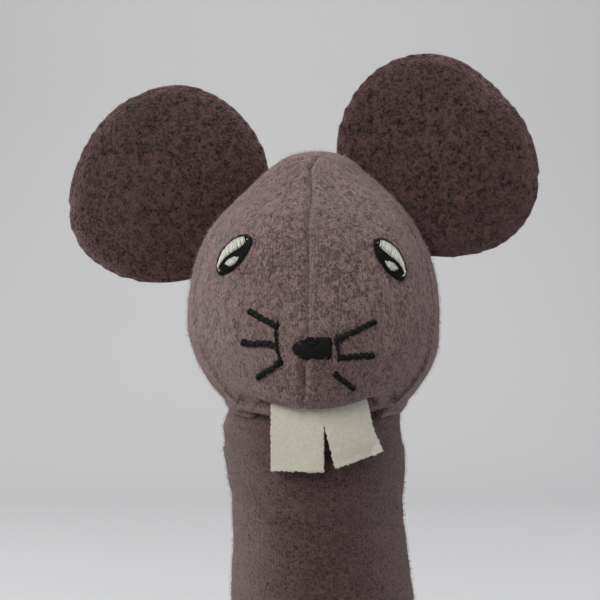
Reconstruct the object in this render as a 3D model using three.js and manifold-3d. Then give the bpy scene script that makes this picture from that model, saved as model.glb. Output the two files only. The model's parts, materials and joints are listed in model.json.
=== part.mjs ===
// A mouse sock puppet: a knitted sleeve for the forearm and a stuffed head with felt ears,
// embroidered features, a mouth that opens and felt teeth.
// Millimetres. +Z is up, the face looks along -Y, +X is the viewer's right.
// The origin is the centre of the cuff's lower opening.
import * as THREE from 'three';
import * as BufferGeometryUtils from 'three/addons/utils/BufferGeometryUtils.js';
import Module from 'manifold-3d';

// Driving dimensions, in millimetres
const sleeveRadius = 32.5; // outside of the sleeve
const sleeveWall = 2.4; // felted knit
const sleeveLength = 180; // from the cuff's rim to the mouth
const cuffHeight = 30;
const cuffExtra = 1.6; // the doubled cuff stands this far proud
const turnAboveCuff = 15; // where the sleeve twists
const tiltShare = 22 / 45; // of the sleeve's length, up to the pivot of the sideways tilt
const nodShare = 11 / 15; // and up to the pivot of the nod
const pivotBallExtra = 3.5; // the spherical cuts round both pivots clear the sleeve by this

const headRadius = 45.4;
const headWall = 2.4;
const headRise = 60; // from the widest level up to the crown
const headDrop = 42; // from the widest level down to the closed end of the egg
const crownPower = 0.78; // 0.5 would be an ellipse; more is more pointed
const muzzleBulge = 8;
const muzzleLift = 20; // muzzle centre above the mouth
const muzzleHalfWidth = 22;
const muzzleHalfHeight = 18;
const seamWidth = 1.2; // sewn seams between the panels
const faceSeamTop = -10; // how far forward the face seam runs at the crown
const faceSeamSlope = 0.13; // and further forward below it

const mouthGap = 0.3;
const liningThick = 1.5;
const boardThick = 1.2;
const lipThick = 5.4;
const mouthBack = 4; // back edge of the mouth's layers
const boardInset = 7; // the cards stay this far inside the linings
const lipEdge = 0.5; // the linings end this far inside the lip
const lowerInset = 1; // the lower lining is this much smaller all round
const lipBack = -2; // back ends of the lower lip, y
const throatBack = 6; // the sleeve is cut away for the jaw in front of this
const throatBackDrop = 14; // depth of that cut at its back edge
const throatFrontDrop = 31; // and at the front of the sleeve

const pocketSideRoom = 7.5; // the finger pocket is this much narrower than the sleeve, each side
const pocketEndRoom = 3.5; // and this much shorter, each end
const pocketBack = 2; // the pocket's centre is this far in front of the middle
const pocketHeight = 21;
const pocketWall = 1.2;

const earRadius = { left: 36.3, right: 36.8 };
const earPlace = { left: [-52, 78], right: [44, 88.5] }; // centre, x and height above the mouth
const earMiddle = 3.5; // middle of the ears' thickness, y
const earFelt = 2.2;
const earWadding = 3.6;
const earWaddingInset = 3;
const earRootRoom = 2.2; // room for the ear to turn beside the head
const earSeamThick = 6;

const teethThick = 1.4;
const teethTopWidth = 34.2;
const teethLength = 21.2;
const teethRoom = 0.6; // round the felt's sewn edge
const teethSlit = 15.4;
const teethSlitWidth = 3.6; // at its lower end
const teethSlitTip = 0.3; // half its width where it ends
const teethSlitShift = 1.1; // its straight edge is this far right of the middle
const teethRightShort = 1; // the right tooth's inner corner ends this much higher
const teethCentre = 1.3; // centre of the top edge, x
const toothSwing = 4.3; // the right tooth's outer edge runs out this far
const toothRise = 7.2; // and its lower corner ends this much higher

const threadStand = 1.2; // embroidery stands this far out of the knit
const highlightThick = 0.6;
const noseStand = 2.2;
const whiskerWidth = 2.2;
const linkWidth = 1.3;

// eyes: the highlight and the glint are ellipses too, in shares of the eye
const eyes = {
  left: { x: -28, up: 53, tilt: 50, outward: -1 }, // `up` is above the mouth
  right: { x: 24.4, up: 51.6, tilt: 125.5, outward: 1 },
};
const eyeHalfLong = 7.8;
const eyeHalfShort = 3.8;
const highlightLong = 0.72;
const highlightShort = 0.34;
const highlightShift = 0.32; // outwards from the eye's middle
const glintLong = 0.26;
const glintShort = 0.3;
const glintShift = 0.352; // inwards from the eye's middle
const glintDrop = 0.2;

// nose: a rounded rectangle, its corners two thirds of half its height
const nose = { x: -1.8, up: 23.7, halfWidth: 6.6, halfHeight: 3.5 };
const noseCorner = 1.5;

// whiskers: [distance out from the nose's edge, height above the mouth] of both ends
const whiskers = {
  left_top: [[5.5, 30.7], [14, 34.9]],
  left_middle: [[5.7, 24.5], [16.2, 24.4]],
  left_bottom: [[3.4, 19.2], [11.2, 12.9]],
  right_top: [[3.1, 27.1], [14.1, 31.4]],
  right_middle: [[3.4, 20.5], [13.4, 20.4]],
  right_bottom: [[1.8, 14.3], [7, 9.6]],
};
const links = {
  left_link: [[3.2, 29], [2.6, 22.5]],
  right_link: [[1.05, 25.4], [0.95, 17.6]],
};

const clearance = 0.3; // between sewn pieces that touch
const turningClearance = 0.6; // between sleeve sections

// Levels worked out from the dimensions above
const sleeveInner = sleeveRadius - sleeveWall;
const mouthLevel = sleeveLength;
const turnHeight = cuffHeight + turnAboveCuff;
const tiltHeight = sleeveLength * tiltShare;
const nodHeight = sleeveLength * nodShare;
const widestLevel = mouthLevel + headDrop * Math.sqrt(1 - (sleeveRadius / headRadius) ** 2);
const crownLevel = widestLevel + headRise;
const bottomLevel = widestLevel - headDrop;
const muzzleLevel = mouthLevel + muzzleLift;
const upperLiningTop = mouthLevel + liningThick;
const upperBoardTop = upperLiningTop + clearance + boardThick;
const lowerLiningTop = mouthLevel - mouthGap;
const lowerBoardTop = lowerLiningTop - liningThick - clearance;
const lipBottom = lowerBoardTop - lipThick;
const pocketBottom = upperBoardTop + clearance;

const wasm = await Module();
wasm.setup();

// Solids: joining and cutting

function toSolid(geometry) {
  const bare = geometry.clone();
  bare.deleteAttribute('normal');
  bare.deleteAttribute('uv');
  const merged = BufferGeometryUtils.mergeVertices(bare, 1e-4);
  const vertProperties = new Float32Array(merged.attributes.position.array);
  const triVerts = new Uint32Array(merged.index.array);
  return new wasm.Manifold(new wasm.Mesh({ numProp: 3, vertProperties, triVerts }));
}

function toGeometry(solid) {
  const mesh = solid.getMesh();
  const geometry = new THREE.BufferGeometry();
  geometry.setAttribute('position', new THREE.BufferAttribute(mesh.vertProperties, 3));
  geometry.setIndex(new THREE.BufferAttribute(mesh.triVerts, 1));
  geometry.computeVertexNormals();
  return geometry;
}

// a big block that fills the side of a plane its normal points to
function halfSpace(point, normal) {
  const size = 800;
  const geometry = new THREE.BoxGeometry(size, size, size);
  geometry.translate(0, 0, size / 2);
  const turn = new THREE.Quaternion().setFromUnitVectors(
    new THREE.Vector3(0, 0, 1),
    new THREE.Vector3(...normal).normalize(),
  );
  geometry.applyQuaternion(turn);
  geometry.translate(...point);
  return toSolid(geometry);
}

// an outline in the Y-Z plane made solid right across the puppet
function acrossX(points) {
  const shape = new THREE.Shape(points.map(([y, z]) => new THREE.Vector2(y, z)));
  const width = 6 * headRadius;
  const geometry = new THREE.ExtrudeGeometry(shape, { depth: width, bevelEnabled: false });
  geometry.translate(0, 0, -width / 2);
  // the outline's x, y and depth become y, z and x
  geometry.applyMatrix4(new THREE.Matrix4().set(0, 0, 1, 0, 1, 0, 0, 0, 0, 1, 0, 0, 0, 0, 0, 1));
  return toSolid(geometry);
}

// an outline in the X-Z plane made solid from y = front to y = back
function facingForward(shape, front, back, curveSegments = 10) {
  const options = { depth: back - front, bevelEnabled: false, curveSegments };
  const geometry = new THREE.ExtrudeGeometry(shape, options);
  geometry.rotateX(Math.PI / 2);
  geometry.translate(0, back, 0);
  return toSolid(geometry);
}

// an outline in the X-Y plane made solid from z = bottom to z = top
function layer(shape, bottom, top, curveSegments = 24) {
  const options = { depth: top - bottom, bevelEnabled: false, curveSegments };
  const geometry = new THREE.ExtrudeGeometry(shape, options);
  geometry.translate(0, 0, bottom);
  return toSolid(geometry);
}

// a closed profile of [radius, z] turned round the Z axis
function turned(profile, segments = 40) {
  const points = profile.map(([r, z]) => new THREE.Vector2(r, z));
  const geometry = new THREE.LatheGeometry(points, segments);
  // the lathe turns round its own Y axis
  geometry.rotateX(Math.PI / 2);
  return toSolid(geometry);
}

// The group

const puppet = new THREE.Group();
const finishes = {
  headKnit: [0x82706e, 0.95],
  sleeveKnit: [0x5f4848, 0.95],
  earFelt: [0x4a3737, 1.0],
  wadding: [0xe4e0d8, 1.0],
  lining: [0x3c2f30, 1.0],
  card: [0xb39a78, 0.9],
  teethFelt: [0xc9c7ad, 0.95],
  blackThread: [0x121214, 0.55],
  whiteThread: [0xe8e9e1, 0.5],
  seamThread: [0x6b5552, 0.9],
};

function addPiece(name, solid, finish) {
  const [color, roughness] = finishes[finish];
  const material = new THREE.MeshStandardMaterial({ color, roughness, metalness: 0 });
  const mesh = new THREE.Mesh(toGeometry(solid), material);
  mesh.name = name;
  puppet.add(mesh);
}

// Sleeve: a tube cut into sections, with ball-shaped ends round the two bending pivots

const ballRadius = sleeveRadius + pivotBallExtra;
const ballDrop = (radius, wall) => Math.sqrt(radius ** 2 - wall ** 2);

function tubeSection(lowOuter, lowInner, highInner, highOuter, outer = sleeveRadius) {
  const profile = [
    [outer, lowOuter],
    [outer, highOuter],
    [sleeveInner, highInner],
    [sleeveInner, lowInner],
    [outer, lowOuter],
  ];
  return turned(profile);
}

// levels of a section's upper end just outside the ball, and of the next one's lower end inside it
function ballEnds(pivot) {
  const outside = ballRadius + turningClearance;
  return {
    below: [pivot - ballDrop(outside, sleeveRadius), pivot - ballDrop(outside, sleeveInner)],
    above: [pivot - ballDrop(ballRadius, sleeveRadius), pivot - ballDrop(ballRadius, sleeveInner)],
  };
}

const tiltEnds = ballEnds(tiltHeight);
const nodEnds = ballEnds(nodHeight);
const lowerTop = turnHeight - turningClearance / 2;
const middleBottom = turnHeight + turningClearance / 2;

addPiece('sleeve_cuff', tubeSection(0, 0, cuffHeight, cuffHeight, sleeveRadius + cuffExtra),
  'sleeveKnit');
addPiece('sleeve_lower',
  tubeSection(cuffHeight + clearance, cuffHeight + clearance, lowerTop, lowerTop), 'sleeveKnit');
addPiece('sleeve_middle',
  tubeSection(middleBottom, middleBottom, tiltEnds.below[1], tiltEnds.below[0]), 'sleeveKnit');
addPiece('sleeve_wrist',
  tubeSection(tiltEnds.above[0], tiltEnds.above[1], nodEnds.below[1], nodEnds.below[0]),
  'sleeveKnit');

// the neck is cut down in front so that the jaw can drop; the throat fills that cut
function throatCut(gap, top) {
  const back = throatBack - gap;
  const backLevel = mouthLevel - throatBackDrop + gap;
  const slope = (throatFrontDrop - throatBackDrop) / (sleeveRadius + throatBack);
  const reach = 3 * sleeveRadius;
  return acrossX([[back, top], [back, backLevel], [back - reach, backLevel - slope * reach],
    [back - reach, top]]);
}

const neckTop = mouthLevel - clearance;
const neckTube = tubeSection(nodEnds.above[0], nodEnds.above[1], neckTop, neckTop);
addPiece('sleeve_neck', neckTube.subtract(throatCut(0, crownLevel)), 'sleeveKnit');
addPiece('throat_fold', neckTube.intersect(throatCut(clearance, lipBottom - clearance)),
  'sleeveKnit');

// Head: an egg turned round Z, with the muzzle pushed out of its front

function eggShare(z) {
  const above = z > widestLevel;
  const part = Math.min(1, Math.abs(z - widestLevel) / (above ? headRise : headDrop));
  return (1 - part ** 2) ** (above ? crownPower : 0.5);
}

function muzzlePush(x, z) {
  const across = (x / muzzleHalfWidth) ** 2;
  const up = ((z - muzzleLevel) / muzzleHalfHeight) ** 2;
  return muzzleBulge * Math.exp(-across - up);
}

// the head's outside, grown by some millimetres all round
function headEnvelope(grow) {
  const rows = 20;
  const profile = [];
  for (let i = 0; i <= rows; i += 1) {
    const angle = Math.PI * (i / rows - 0.5);
    const reach = angle > 0 ? headRise : headDrop;
    const z = widestLevel + reach * Math.sin(angle);
    const atPole = i === 0 || i === rows;
    const radius = atPole ? 0 : headRadius * eggShare(z) + grow * Math.cos(angle);
    profile.push(new THREE.Vector2(radius, z + grow * Math.sin(angle)));
  }
  const geometry = new THREE.LatheGeometry(profile, 36);
  geometry.rotateX(Math.PI / 2);
  const at = geometry.attributes.position;
  for (let i = 0; i < at.count; i += 1) {
    const forward = Math.max(0, -at.getY(i) / headRadius);
    const push = muzzlePush(at.getX(i), at.getZ(i)) * Math.min(1, 2 * forward);
    at.setY(i, at.getY(i) - push);
  }
  return toSolid(geometry);
}

const frontAt = (z) => headRadius * eggShare(z) + muzzlePush(0, z);

const headShell = headEnvelope(0).subtract(headEnvelope(-headWall));
const shellBottom = mouthLevel + liningThick + clearance;
const belowHead = acrossX([[-headRadius * 2, shellBottom], [throatBack, shellBottom],
  [throatBack, mouthLevel], [headRadius * 2, mouthLevel],
  [headRadius * 2, bottomLevel - headWall * 2], [-headRadius * 2, bottomLevel - headWall * 2]]);
const openShell = headShell.subtract(belowHead);

// a slab that stands in front of, behind or astride the face seam
const seamNormal = [0, -1, -faceSeamSlope];
const seamScale = Math.hypot(1, faceSeamSlope);
function seamPlane(offset) {
  return [0, faceSeamTop - offset * seamScale, crownLevel];
}
const seamEdge = seamWidth / 2;
const frontSide = (offset) => halfSpace(seamPlane(offset), seamNormal);
const leftSide = (x) => halfSpace([x, 0, mouthLevel], [-1, 0, 0]);
const rightSide = (x) => halfSpace([x, 0, mouthLevel], [1, 0, 0]);

const faceShell = openShell.intersect(frontSide(seamEdge + clearance));
addPiece('face_left', faceShell.intersect(leftSide(-seamEdge - clearance)), 'headKnit');
addPiece('face_right', faceShell.intersect(rightSide(seamEdge + clearance)), 'headKnit');
addPiece('head_back', openShell.subtract(frontSide(-seamEdge - clearance)), 'headKnit');
addPiece('centre_seam', faceShell.subtract(leftSide(-seamEdge)).subtract(rightSide(seamEdge)),
  'seamThread');
addPiece('face_seam', openShell.intersect(frontSide(-seamEdge)).subtract(frontSide(seamEdge)),
  'seamThread');

// Inside the head

function ellipseShape(halfWidth, halfDepth, y) {
  const shape = new THREE.Shape();
  shape.absellipse(0, y, halfWidth, halfDepth, 0, Math.PI * 2, false, 0);
  return shape;
}

const pocketTop = pocketBottom + pocketHeight;
function pocketBlock(grow, bottom, top) {
  const halfWidth = sleeveRadius - pocketSideRoom + grow;
  const halfDepth = sleeveRadius - pocketEndRoom + grow;
  return layer(ellipseShape(halfWidth, halfDepth, -pocketBack), bottom, top, 16);
}
addPiece('finger_pocket', pocketBlock(0, pocketBottom, pocketTop)
  .subtract(pocketBlock(-pocketWall, pocketBottom - pocketWall, pocketTop - pocketWall)), 'lining');

const stuffing = headEnvelope(-headWall - clearance)
  .intersect(halfSpace([0, 0, pocketBottom], [0, 0, 1]))
  .subtract(pocketBlock(clearance, bottomLevel, pocketTop + clearance));
addPiece('head_stuffing', stuffing, 'wadding');

// Mouth: flat layers with a rounded front

// the front of the mouth, inset from the lip, back to the given y
function mouthLayer(inset, back, bottom, top) {
  const halfWidth = sleeveRadius - lipEdge - inset;
  const halfDepth = frontAt(shellBottom) - lipEdge - inset;
  const front = halfSpace([0, back, mouthLevel], [0, -1, 0]);
  return layer(ellipseShape(halfWidth, halfDepth, 0), bottom, top).intersect(front);
}

addPiece('upper_mouth_lining', mouthLayer(0, mouthBack, mouthLevel, upperLiningTop), 'lining');
addPiece('upper_mouth_board',
  mouthLayer(boardInset, mouthBack, upperLiningTop + clearance, upperBoardTop), 'card');

addPiece('lower_mouth_lining',
  mouthLayer(lowerInset, mouthBack, lowerLiningTop - liningThick, lowerLiningTop), 'lining');
addPiece('lower_mouth_board',
  mouthLayer(boardInset + lowerInset, mouthBack, lowerBoardTop - boardThick, lowerBoardTop), 'card');
const besideBoard = boardInset + lowerInset - clearance;
const lipRing = mouthLayer(0, lipBack, lipBottom, lowerBoardTop)
  .subtract(mouthLayer(besideBoard, mouthBack, lipBottom - clearance, lowerBoardTop + clearance));
addPiece('lower_lip', lipRing, 'headKnit');

// Teeth: one piece of felt with a slit

const teethTop = shellBottom - teethRoom;
const teethBack = lipEdge - frontAt(shellBottom) - teethRoom;

// corners go round from the top left; the right tooth swings up and out a little
function teethShape() {
  const left = teethCentre - teethTopWidth / 2;
  const right = teethCentre + teethTopWidth / 2;
  const low = teethTop - teethLength;
  const slitAt = teethCentre + teethSlitShift;
  const shape = new THREE.Shape();
  shape.moveTo(left, teethTop);
  shape.lineTo(left, low);
  shape.lineTo(slitAt, low);
  shape.lineTo(slitAt - teethSlitTip, low + teethSlit);
  shape.lineTo(slitAt + teethSlitTip, low + teethSlit);
  shape.lineTo(slitAt + teethSlitWidth, low + teethRightShort);
  shape.lineTo(right + toothSwing, low + toothRise);
  shape.lineTo(right, teethTop);
  shape.closePath();
  return shape;
}
addPiece('teeth_felt', facingForward(teethShape(), teethBack - teethThick, teethBack),
  'teethFelt');

// Embroidery: an outline pressed on to the face, between two grown copies of the head

const threadSkin = headEnvelope(clearance + threadStand).subtract(headEnvelope(clearance));
const highlightLow = 2 * clearance + threadStand;
const highlightSkin = headEnvelope(highlightLow + highlightThick)
  .subtract(headEnvelope(highlightLow));
const noseSkin = headEnvelope(clearance + noseStand).subtract(headEnvelope(clearance));

function stitched(name, shape, skin, finish) {
  const column = facingForward(shape, -3 * headRadius, faceSeamTop, 6);
  addPiece(name, skin.intersect(column), finish);
}

function tiltedEllipse(x, z, halfLong, halfShort, degrees) {
  const shape = new THREE.Shape();
  const turn = THREE.MathUtils.degToRad(degrees);
  shape.absellipse(x, z, halfLong, halfShort, 0, Math.PI * 2, false, turn);
  return shape;
}

// a short fat line with round ends
function strokeShape(from, to, width) {
  const angle = Math.atan2(to[1] - from[1], to[0] - from[0]);
  const shape = new THREE.Shape();
  shape.absarc(to[0], to[1], width / 2, angle - Math.PI / 2, angle + Math.PI / 2, false);
  shape.absarc(from[0], from[1], width / 2, angle + Math.PI / 2, angle + Math.PI * 1.5, false);
  shape.closePath();
  return shape;
}

for (const [side, eye] of Object.entries(eyes)) {
  const z = mouthLevel + eye.up;
  const along = THREE.MathUtils.degToRad(eye.tilt);
  const outX = eye.outward * Math.abs(Math.sin(along));
  const outZ = Math.abs(Math.cos(along));
  stitched(`eye_${side}_ground`, tiltedEllipse(eye.x, z, eyeHalfLong, eyeHalfShort, eye.tilt),
    threadSkin, 'blackThread');
  const shift = eyeHalfShort * highlightShift;
  const highlight = tiltedEllipse(eye.x + outX * shift, z + outZ * shift,
    eyeHalfLong * highlightLong, eyeHalfShort * highlightShort, eye.tilt);
  stitched(`eye_${side}_highlight`, highlight, highlightSkin, 'whiteThread');
  const back = eyeHalfShort * glintShift;
  const glint = tiltedEllipse(eye.x - outX * back, z - outZ * back - eyeHalfLong * glintDrop,
    eyeHalfLong * glintLong, eyeHalfShort * glintShort, eye.tilt);
  stitched(`eye_${side}_glint`, glint, highlightSkin, 'whiteThread');
}

function noseShape() {
  const corner = nose.halfHeight / noseCorner;
  const shape = new THREE.Shape();
  const [left, right] = [nose.x - nose.halfWidth, nose.x + nose.halfWidth];
  const low = mouthLevel + nose.up - nose.halfHeight;
  const high = mouthLevel + nose.up + nose.halfHeight;
  shape.absarc(right - corner, high - corner, corner, 0, Math.PI / 2, false);
  shape.absarc(left + corner, high - corner, corner, Math.PI / 2, Math.PI, false);
  shape.absarc(left + corner, low + corner, corner, Math.PI, Math.PI * 1.5, false);
  shape.absarc(right - corner, low + corner, corner, Math.PI * 1.5, Math.PI * 2, false);
  shape.closePath();
  return shape;
}
stitched('nose', noseShape(), noseSkin, 'blackThread');

function whiskerStroke(name, ends, width) {
  const outward = name.startsWith('left') ? -1 : 1;
  const [from, to] = ends.map(([out, up]) => [
    nose.x + outward * (nose.halfWidth + out),
    mouthLevel + up,
  ]);
  stitched(`whisker_${name}`, strokeShape(from, to, width), threadSkin, 'blackThread');
}
for (const [name, ends] of Object.entries(whiskers)) {
  whiskerStroke(name, ends, whiskerWidth);
}
for (const [name, ends] of Object.entries(links)) {
  whiskerStroke(name, ends, linkWidth);
}

// Ears: two felt discs with wadding between them, and a sewn root

const earHalf = earFelt + earWadding / 2 + clearance;
const besideHead = headEnvelope(earRootRoom);
const rootSkin = headEnvelope(earRootRoom - clearance).subtract(headEnvelope(clearance));
for (const side of ['left', 'right']) {
  const [x, up] = earPlace[side];
  const z = mouthLevel + up;
  const outline = tiltedEllipse(x, z, earRadius[side], earRadius[side], 0);
  const inner = earRadius[side] - earWaddingInset;
  const front = earMiddle - earHalf;
  const back = earMiddle + earHalf;
  const disc = (shape, from, to) => facingForward(shape, from, to, 20).subtract(besideHead);
  addPiece(`ear_${side}_front`, disc(outline, front, front + earFelt), 'earFelt');
  addPiece(`ear_${side}_back`, disc(outline, back - earFelt, back), 'earFelt');
  addPiece(`ear_${side}_wadding`, disc(tiltedEllipse(x, z, inner, inner, 0),
    earMiddle - earWadding / 2, earMiddle + earWadding / 2), 'wadding');
  const root = facingForward(outline, earMiddle - earSeamThick / 2, earMiddle + earSeamThick / 2, 20);
  addPiece(`ear_${side}_root`, rootSkin.intersect(root), 'seamThread');
}

export default puppet;
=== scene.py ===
import json
import random
from math import asin, atan2, cos, exp, floor, hypot, pi, radians, sin, sqrt, tanh

import bmesh
import bpy
import numpy as np
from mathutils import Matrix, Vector, noise

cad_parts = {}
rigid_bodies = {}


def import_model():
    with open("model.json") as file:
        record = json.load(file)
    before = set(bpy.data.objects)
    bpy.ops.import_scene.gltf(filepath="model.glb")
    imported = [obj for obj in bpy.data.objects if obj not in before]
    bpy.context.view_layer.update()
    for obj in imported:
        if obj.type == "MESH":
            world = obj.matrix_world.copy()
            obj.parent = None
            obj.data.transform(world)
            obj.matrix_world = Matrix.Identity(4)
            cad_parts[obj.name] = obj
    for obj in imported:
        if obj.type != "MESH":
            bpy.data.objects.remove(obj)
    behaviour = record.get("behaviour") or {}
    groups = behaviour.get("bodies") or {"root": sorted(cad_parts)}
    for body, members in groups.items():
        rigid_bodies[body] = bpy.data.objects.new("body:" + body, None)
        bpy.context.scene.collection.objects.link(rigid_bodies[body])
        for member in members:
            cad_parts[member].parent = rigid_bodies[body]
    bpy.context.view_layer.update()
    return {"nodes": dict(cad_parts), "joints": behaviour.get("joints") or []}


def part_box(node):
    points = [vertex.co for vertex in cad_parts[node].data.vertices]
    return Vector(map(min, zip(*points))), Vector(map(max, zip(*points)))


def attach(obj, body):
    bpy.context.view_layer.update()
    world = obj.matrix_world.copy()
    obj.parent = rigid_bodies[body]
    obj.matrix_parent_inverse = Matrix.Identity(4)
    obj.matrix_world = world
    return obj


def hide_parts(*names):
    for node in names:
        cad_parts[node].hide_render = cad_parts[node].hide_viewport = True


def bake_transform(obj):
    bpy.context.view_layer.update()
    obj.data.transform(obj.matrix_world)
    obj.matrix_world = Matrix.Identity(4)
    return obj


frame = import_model()
scene = bpy.context.scene
mm = 0.001  # shapes are worked out in millimetres and turned into metres when a mesh is made
print("frame loaded")


# levels and radii of the frame, in millimetres
def span(node):
    low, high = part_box(node)
    return low / mm, high / mm


wristLow, wristHigh = span("sleeve_wrist")
cuffLow, cuffHigh = span("sleeve_cuff")
backLow, backHigh = span("head_back")
lipFront = span("lower_lip")[0].y
teethLow, teethHigh = span("teeth_felt")
jointAt = {j["name"]: Vector(j["pos_m"]) / mm for j in frame["joints"]}

head = {
    "radius": (backHigh.x - backLow.x) / 2,
    "crown": backHigh.z,
    "mouth": backLow.z,
    "drop": 42,  # from the widest level to where the egg would close underneath
    # how pointed the egg is from the widest level up to the crown: 0.5 is an ellipse
    "pointed": ((0, 0.4, 0.56, 0.76, 0.88, 0.97, 1), (0.55, 0.56, 0.6, 0.68, 0.64, 0.54, 0.5)),
    "leftCheek": 1.0,  # the whole face sits a little to the left at cheek level
    "muzzleBulge": 8,
    "muzzleLift": 20,  # above the mouth
    "muzzleHalfWidth": 22,
    "muzzleHalfHeight": 18,
    "seamTop": -10,  # the face seam at the crown, front to back
    "seamSlope": 0.13,
    "centreSeam": -2.0,  # the middle seam runs a little left of centre
    "centreDrift": 2.2, "driftTop": 25,  # and further left from this far above the mouth
    "backHang": 2.4, "hangTop": 9,  # the back's edge hangs below the mouth, straight from hangTop
}
sleeveRadius = (wristHigh.x - wristLow.x) / 2
head["widest"] = head["mouth"] + head["drop"] * sqrt(1 - (sleeveRadius / head["radius"]) ** 2)


class Wiring:
    # short calls for adding and joining shader nodes
    def __init__(self, tree):
        self.tree = tree

    def node(self, kind, **settings):
        made = self.tree.nodes.new(kind)
        for key, value in settings.items():
            setattr(made, key, value)
        return made

    def join(self, value, socket):
        if isinstance(value, bpy.types.NodeSocket):
            self.tree.links.new(value, socket)
        elif value is not None:
            socket.default_value = value

    def feed(self, made, inputs):
        for key, value in inputs.items():
            self.join(value, made.inputs[key])
        return made

    def math(self, operation, a, b=None, c=None):
        made = self.node("ShaderNodeMath", operation=operation)
        for value, socket in zip((a, b, c), made.inputs):
            self.join(value, socket)
        return made.outputs[0]

    def add(self, a, b):
        return self.math("ADD", a, b)

    def times(self, a, b):
        return self.math("MULTIPLY", a, b)

    def remap(self, value, low, high, toLow=0.0, toHigh=1.0):
        made = self.node("ShaderNodeMapRange")
        for item, socket in zip((value, low, high, toLow, toHigh), made.inputs):
            self.join(item, socket)
        return made.outputs[0]

    def noise(self, vector, scale, detail=3.0, rough=0.6, distortion=0.0):
        made = self.feed(self.node("ShaderNodeTexNoise"), {
            "Vector": vector, "Scale": scale, "Detail": detail, "Roughness": rough,
            "Distortion": distortion})
        return made.outputs["Fac"]

    def mix(self, share, a, b):
        made = self.feed(self.node("ShaderNodeMix", data_type="RGBA"),
                         {"Factor": share, "A": a, "B": b})
        return made.outputs["Result"]

    def place(self):
        return self.node("ShaderNodeTexCoord").outputs["Object"]

    def split(self, vector):
        return self.feed(self.node("ShaderNodeSeparateXYZ"), {0: vector}).outputs


# camera, light and stage
def aim(thing, at):
    thing.rotation_euler = (Vector(at) - thing.location).to_track_quat("-Z", "Y").to_euler()


def newThing(name, points, faces, smoothed=True, into=None):
    mesh = bpy.data.meshes.new(name)
    mesh.from_pydata(points, [], faces)
    for face in mesh.polygons:
        face.use_smooth = smoothed
    thing = bpy.data.objects.new(name, mesh)
    (into or scene.collection).objects.link(thing)
    return thing


def gridFaces(rows, columns, wrap=False, flip=False):
    faces = []
    for i in range(rows - 1):
        for j in range(columns if wrap else columns - 1):
            k = (j + 1) % columns
            face = (i * columns + j, i * columns + k, (i + 1) * columns + k, (i + 1) * columns + j)
            faces.append(face[::-1] if flip else face)
    return faces


def ringAngles(count):
    return [2 * pi * j / count for j in range(count)]


def backed(faces, layer):
    # the same faces again on a second layer of points, turned over
    return faces + [tuple(layer + v for v in face[::-1]) for face in faces]


def endToStart(rows, columns):
    # closes the last row of a wrapped grid onto its first
    last = (rows - 1) * columns
    return [(last + j, last + (j + 1) % columns, (j + 1) % columns, j) for j in range(columns)]


def rodFaces(rows, columns):
    # a wrapped grid with both ends filled
    last = (rows - 1) * columns
    ends = [tuple(range(columns))[::-1], tuple(last + j for j in range(columns))]
    return gridFaces(rows, columns, wrap=True) + ends


camera = {"distance": 600, "elevation": 4, "aimX": -5.8, "aimZ": 216, "lens": 100}


def makeCamera():
    data = bpy.data.cameras.new("camera")
    data.lens, data.sensor_width = camera["lens"], 36
    data.clip_start, data.clip_end = 0.01, 20
    thing = bpy.data.objects.new("camera", data)
    scene.collection.objects.link(thing)
    up = radians(camera["elevation"])
    target = Vector((camera["aimX"], 0, camera["aimZ"])) * mm
    thing.location = target + Vector((0, -cos(up), sin(up))) * camera["distance"] * mm
    aim(thing, target)
    scene.camera = thing


lights = {  # place in metres, size in metres, watts, colour
    "key": ((-0.62, -0.85, 0.95), 0.75, 15.0, (1.0, 0.985, 0.96)),
    "fill": ((0.9, -0.7, 0.45), 0.8, 1.6, (0.97, 0.98, 1.0)),
    "top": ((0.0, 0.15, 1.2), 0.8, 7.0, (1.0, 1.0, 1.0)),
    "rimLeft": ((-0.75, 0.35, 0.35), 0.5, 3.0, (1.0, 1.0, 1.0)),
    "rimRight": ((0.75, 0.35, 0.35), 0.5, 3.0, (1.0, 1.0, 1.0)),
}
stage = {  # metres; the floor's colour is painted darker near the camera than at the wall, a painted shade
    "colour": (0.55, 0.55, 0.555), "near": (0.42, 0.425, 0.435), "nearAt": -0.4, "wall": 1.1,
    "height": 2.4, "sweep": 0.35, "half": 4.5, "below": 0.0005,
    "world": 0.27, "worldColour": (0.93, 0.95, 1.0, 1), "seenColour": (0.5, 0.505, 0.515, 1),
}


def makeLights():
    for name, (place, size, watts, colour) in lights.items():
        data = bpy.data.lights.new(name, "AREA")
        data.shape, data.size = "SQUARE", size
        data.energy, data.color = watts, colour
        thing = bpy.data.objects.new(name, data)
        thing.location = place
        aim(thing, (0, 0, 0.2))
        scene.collection.objects.link(thing)
    world = bpy.data.worlds.new("studio")
    world.use_nodes = True
    background = world.node_tree.nodes["Background"]
    # seen directly, the room is as pale as the paper
    w = Wiring(world.node_tree)
    w.feed(background, {"Color": stage["worldColour"], "Strength": stage["world"]})
    seen = w.feed(w.node("ShaderNodeBackground"), {"Color": stage["seenColour"]})
    either = w.feed(w.node("ShaderNodeMixShader"), {
        0: w.node("ShaderNodeLightPath").outputs["Is Camera Ray"],
        1: background.outputs[0], 2: seen.outputs[0]})
    w.join(either.outputs[0], world.node_tree.nodes["World Output"].inputs["Surface"])
    scene.world = world
    scene.view_settings.view_transform = "Standard"


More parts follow.
